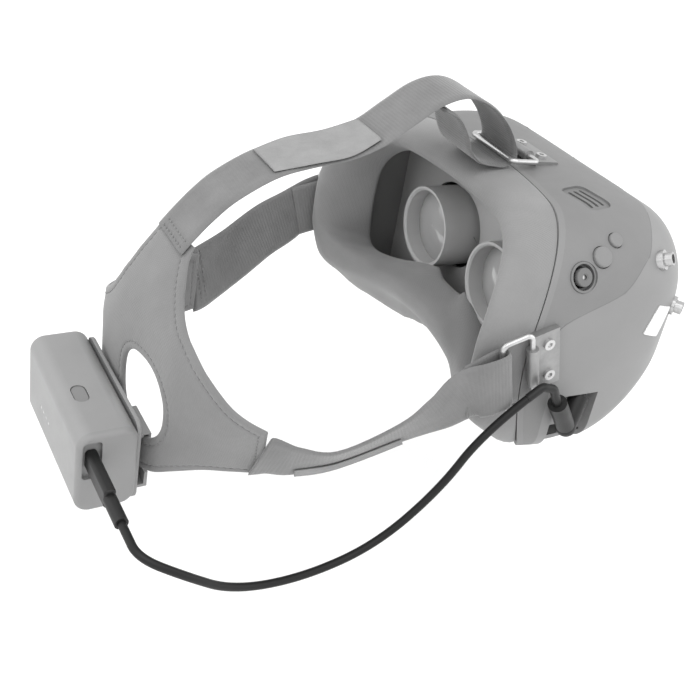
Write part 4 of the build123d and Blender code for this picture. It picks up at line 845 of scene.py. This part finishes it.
soft = cushion.modifiers.new("soft", "SUBSURF")
soft.levels = soft.render_levels = 1


# ---------------- shell joint line ----------------
# Side view (y, z) of the zone that belongs to the rear shell
SEAM = [(-68.0, 80.0), (-67.0, 40.0), (-53.0, 26.0), (-31.0, 18.0), (-21.0, 12.0), (-26.0, -18.0),
        (-28.0, -70.0), (60.0, -70.0), (60.0, 80.0)]
shell_trees = []
for shell in ("front_shell", "rear_shell"):
    mesh = nodes[shell].data
    world_at = nodes[shell].matrix_world
    shell_trees.append(BVHTree.FromPolygons(
        [world_at @ v.co for v in mesh.vertices], [tuple(p.vertices) for p in mesh.polygons]))


def skin_at(angle, y):
    """Outer skin point at one angle round the long axis and one depth, with its normal."""
    way = Vector((math.sin(angle), 0, math.cos(angle)))
    best = None
    for tree in shell_trees:
        hit, normal, _, gap = tree.ray_cast(Vector((0, y * MM, 0)) + way * 0.25, -way)
        if hit is not None and (best is None or gap < best[2]):
            best = (hit, normal, gap)
    return best


BROW_Z, BROW_Y, BROW_R = 39.0, 60.0, 152.0


def in_rear_zone(place):
    x, y, z = (c / MM for c in place)
    if z > BROW_Z and math.hypot(x, y - BROW_Y) < BROW_R:
        return True
    return bool(inside(np.array([(y, z)]), np.array(SEAM))[0])


joint_line = []
for angle in np.linspace(-2.2, 2.2, 221):
    near, far = -25.0, -104.0
    hit = skin_at(angle, near)
    if hit is None or not in_rear_zone(hit[0]):
        near = -8.0
    for _ in range(14):
        mid = (near + far) / 2
        hit = skin_at(angle, mid)
        if hit is not None and in_rear_zone(hit[0]):
            near = mid
        else:
            far = mid
    hit = skin_at(angle, near)
    if hit is not None:
        joint_line.append((np.array(hit[0]), np.array(hit[1])))


def cut_line(name, line, radius, slot):
    """A fine dark line laid on a surface where two parts meet."""
    verts = []
    pts = np.array([p for p, _ in line])
    for _ in range(2):
        pts[1:-1] = 0.5 * pts[1:-1] + 0.25 * (pts[:-2] + pts[2:])
    tangent = np.gradient(pts, axis=0)
    for i, (_, n) in enumerate(line):
        t = unit(tangent[i])
        side = unit(np.cross(t, n))
        up_way = np.cross(side, t)
        for a in ROUND:
            verts.append(pts[i] + (side * math.cos(a) + up_way * 0.35 * math.sin(a)) * radius * MM)
    return piece_from(name, verts, tube_faces(0, len(line)), slot)


cut_line("shell_joint_line", joint_line, 0.35, "trim_dark")
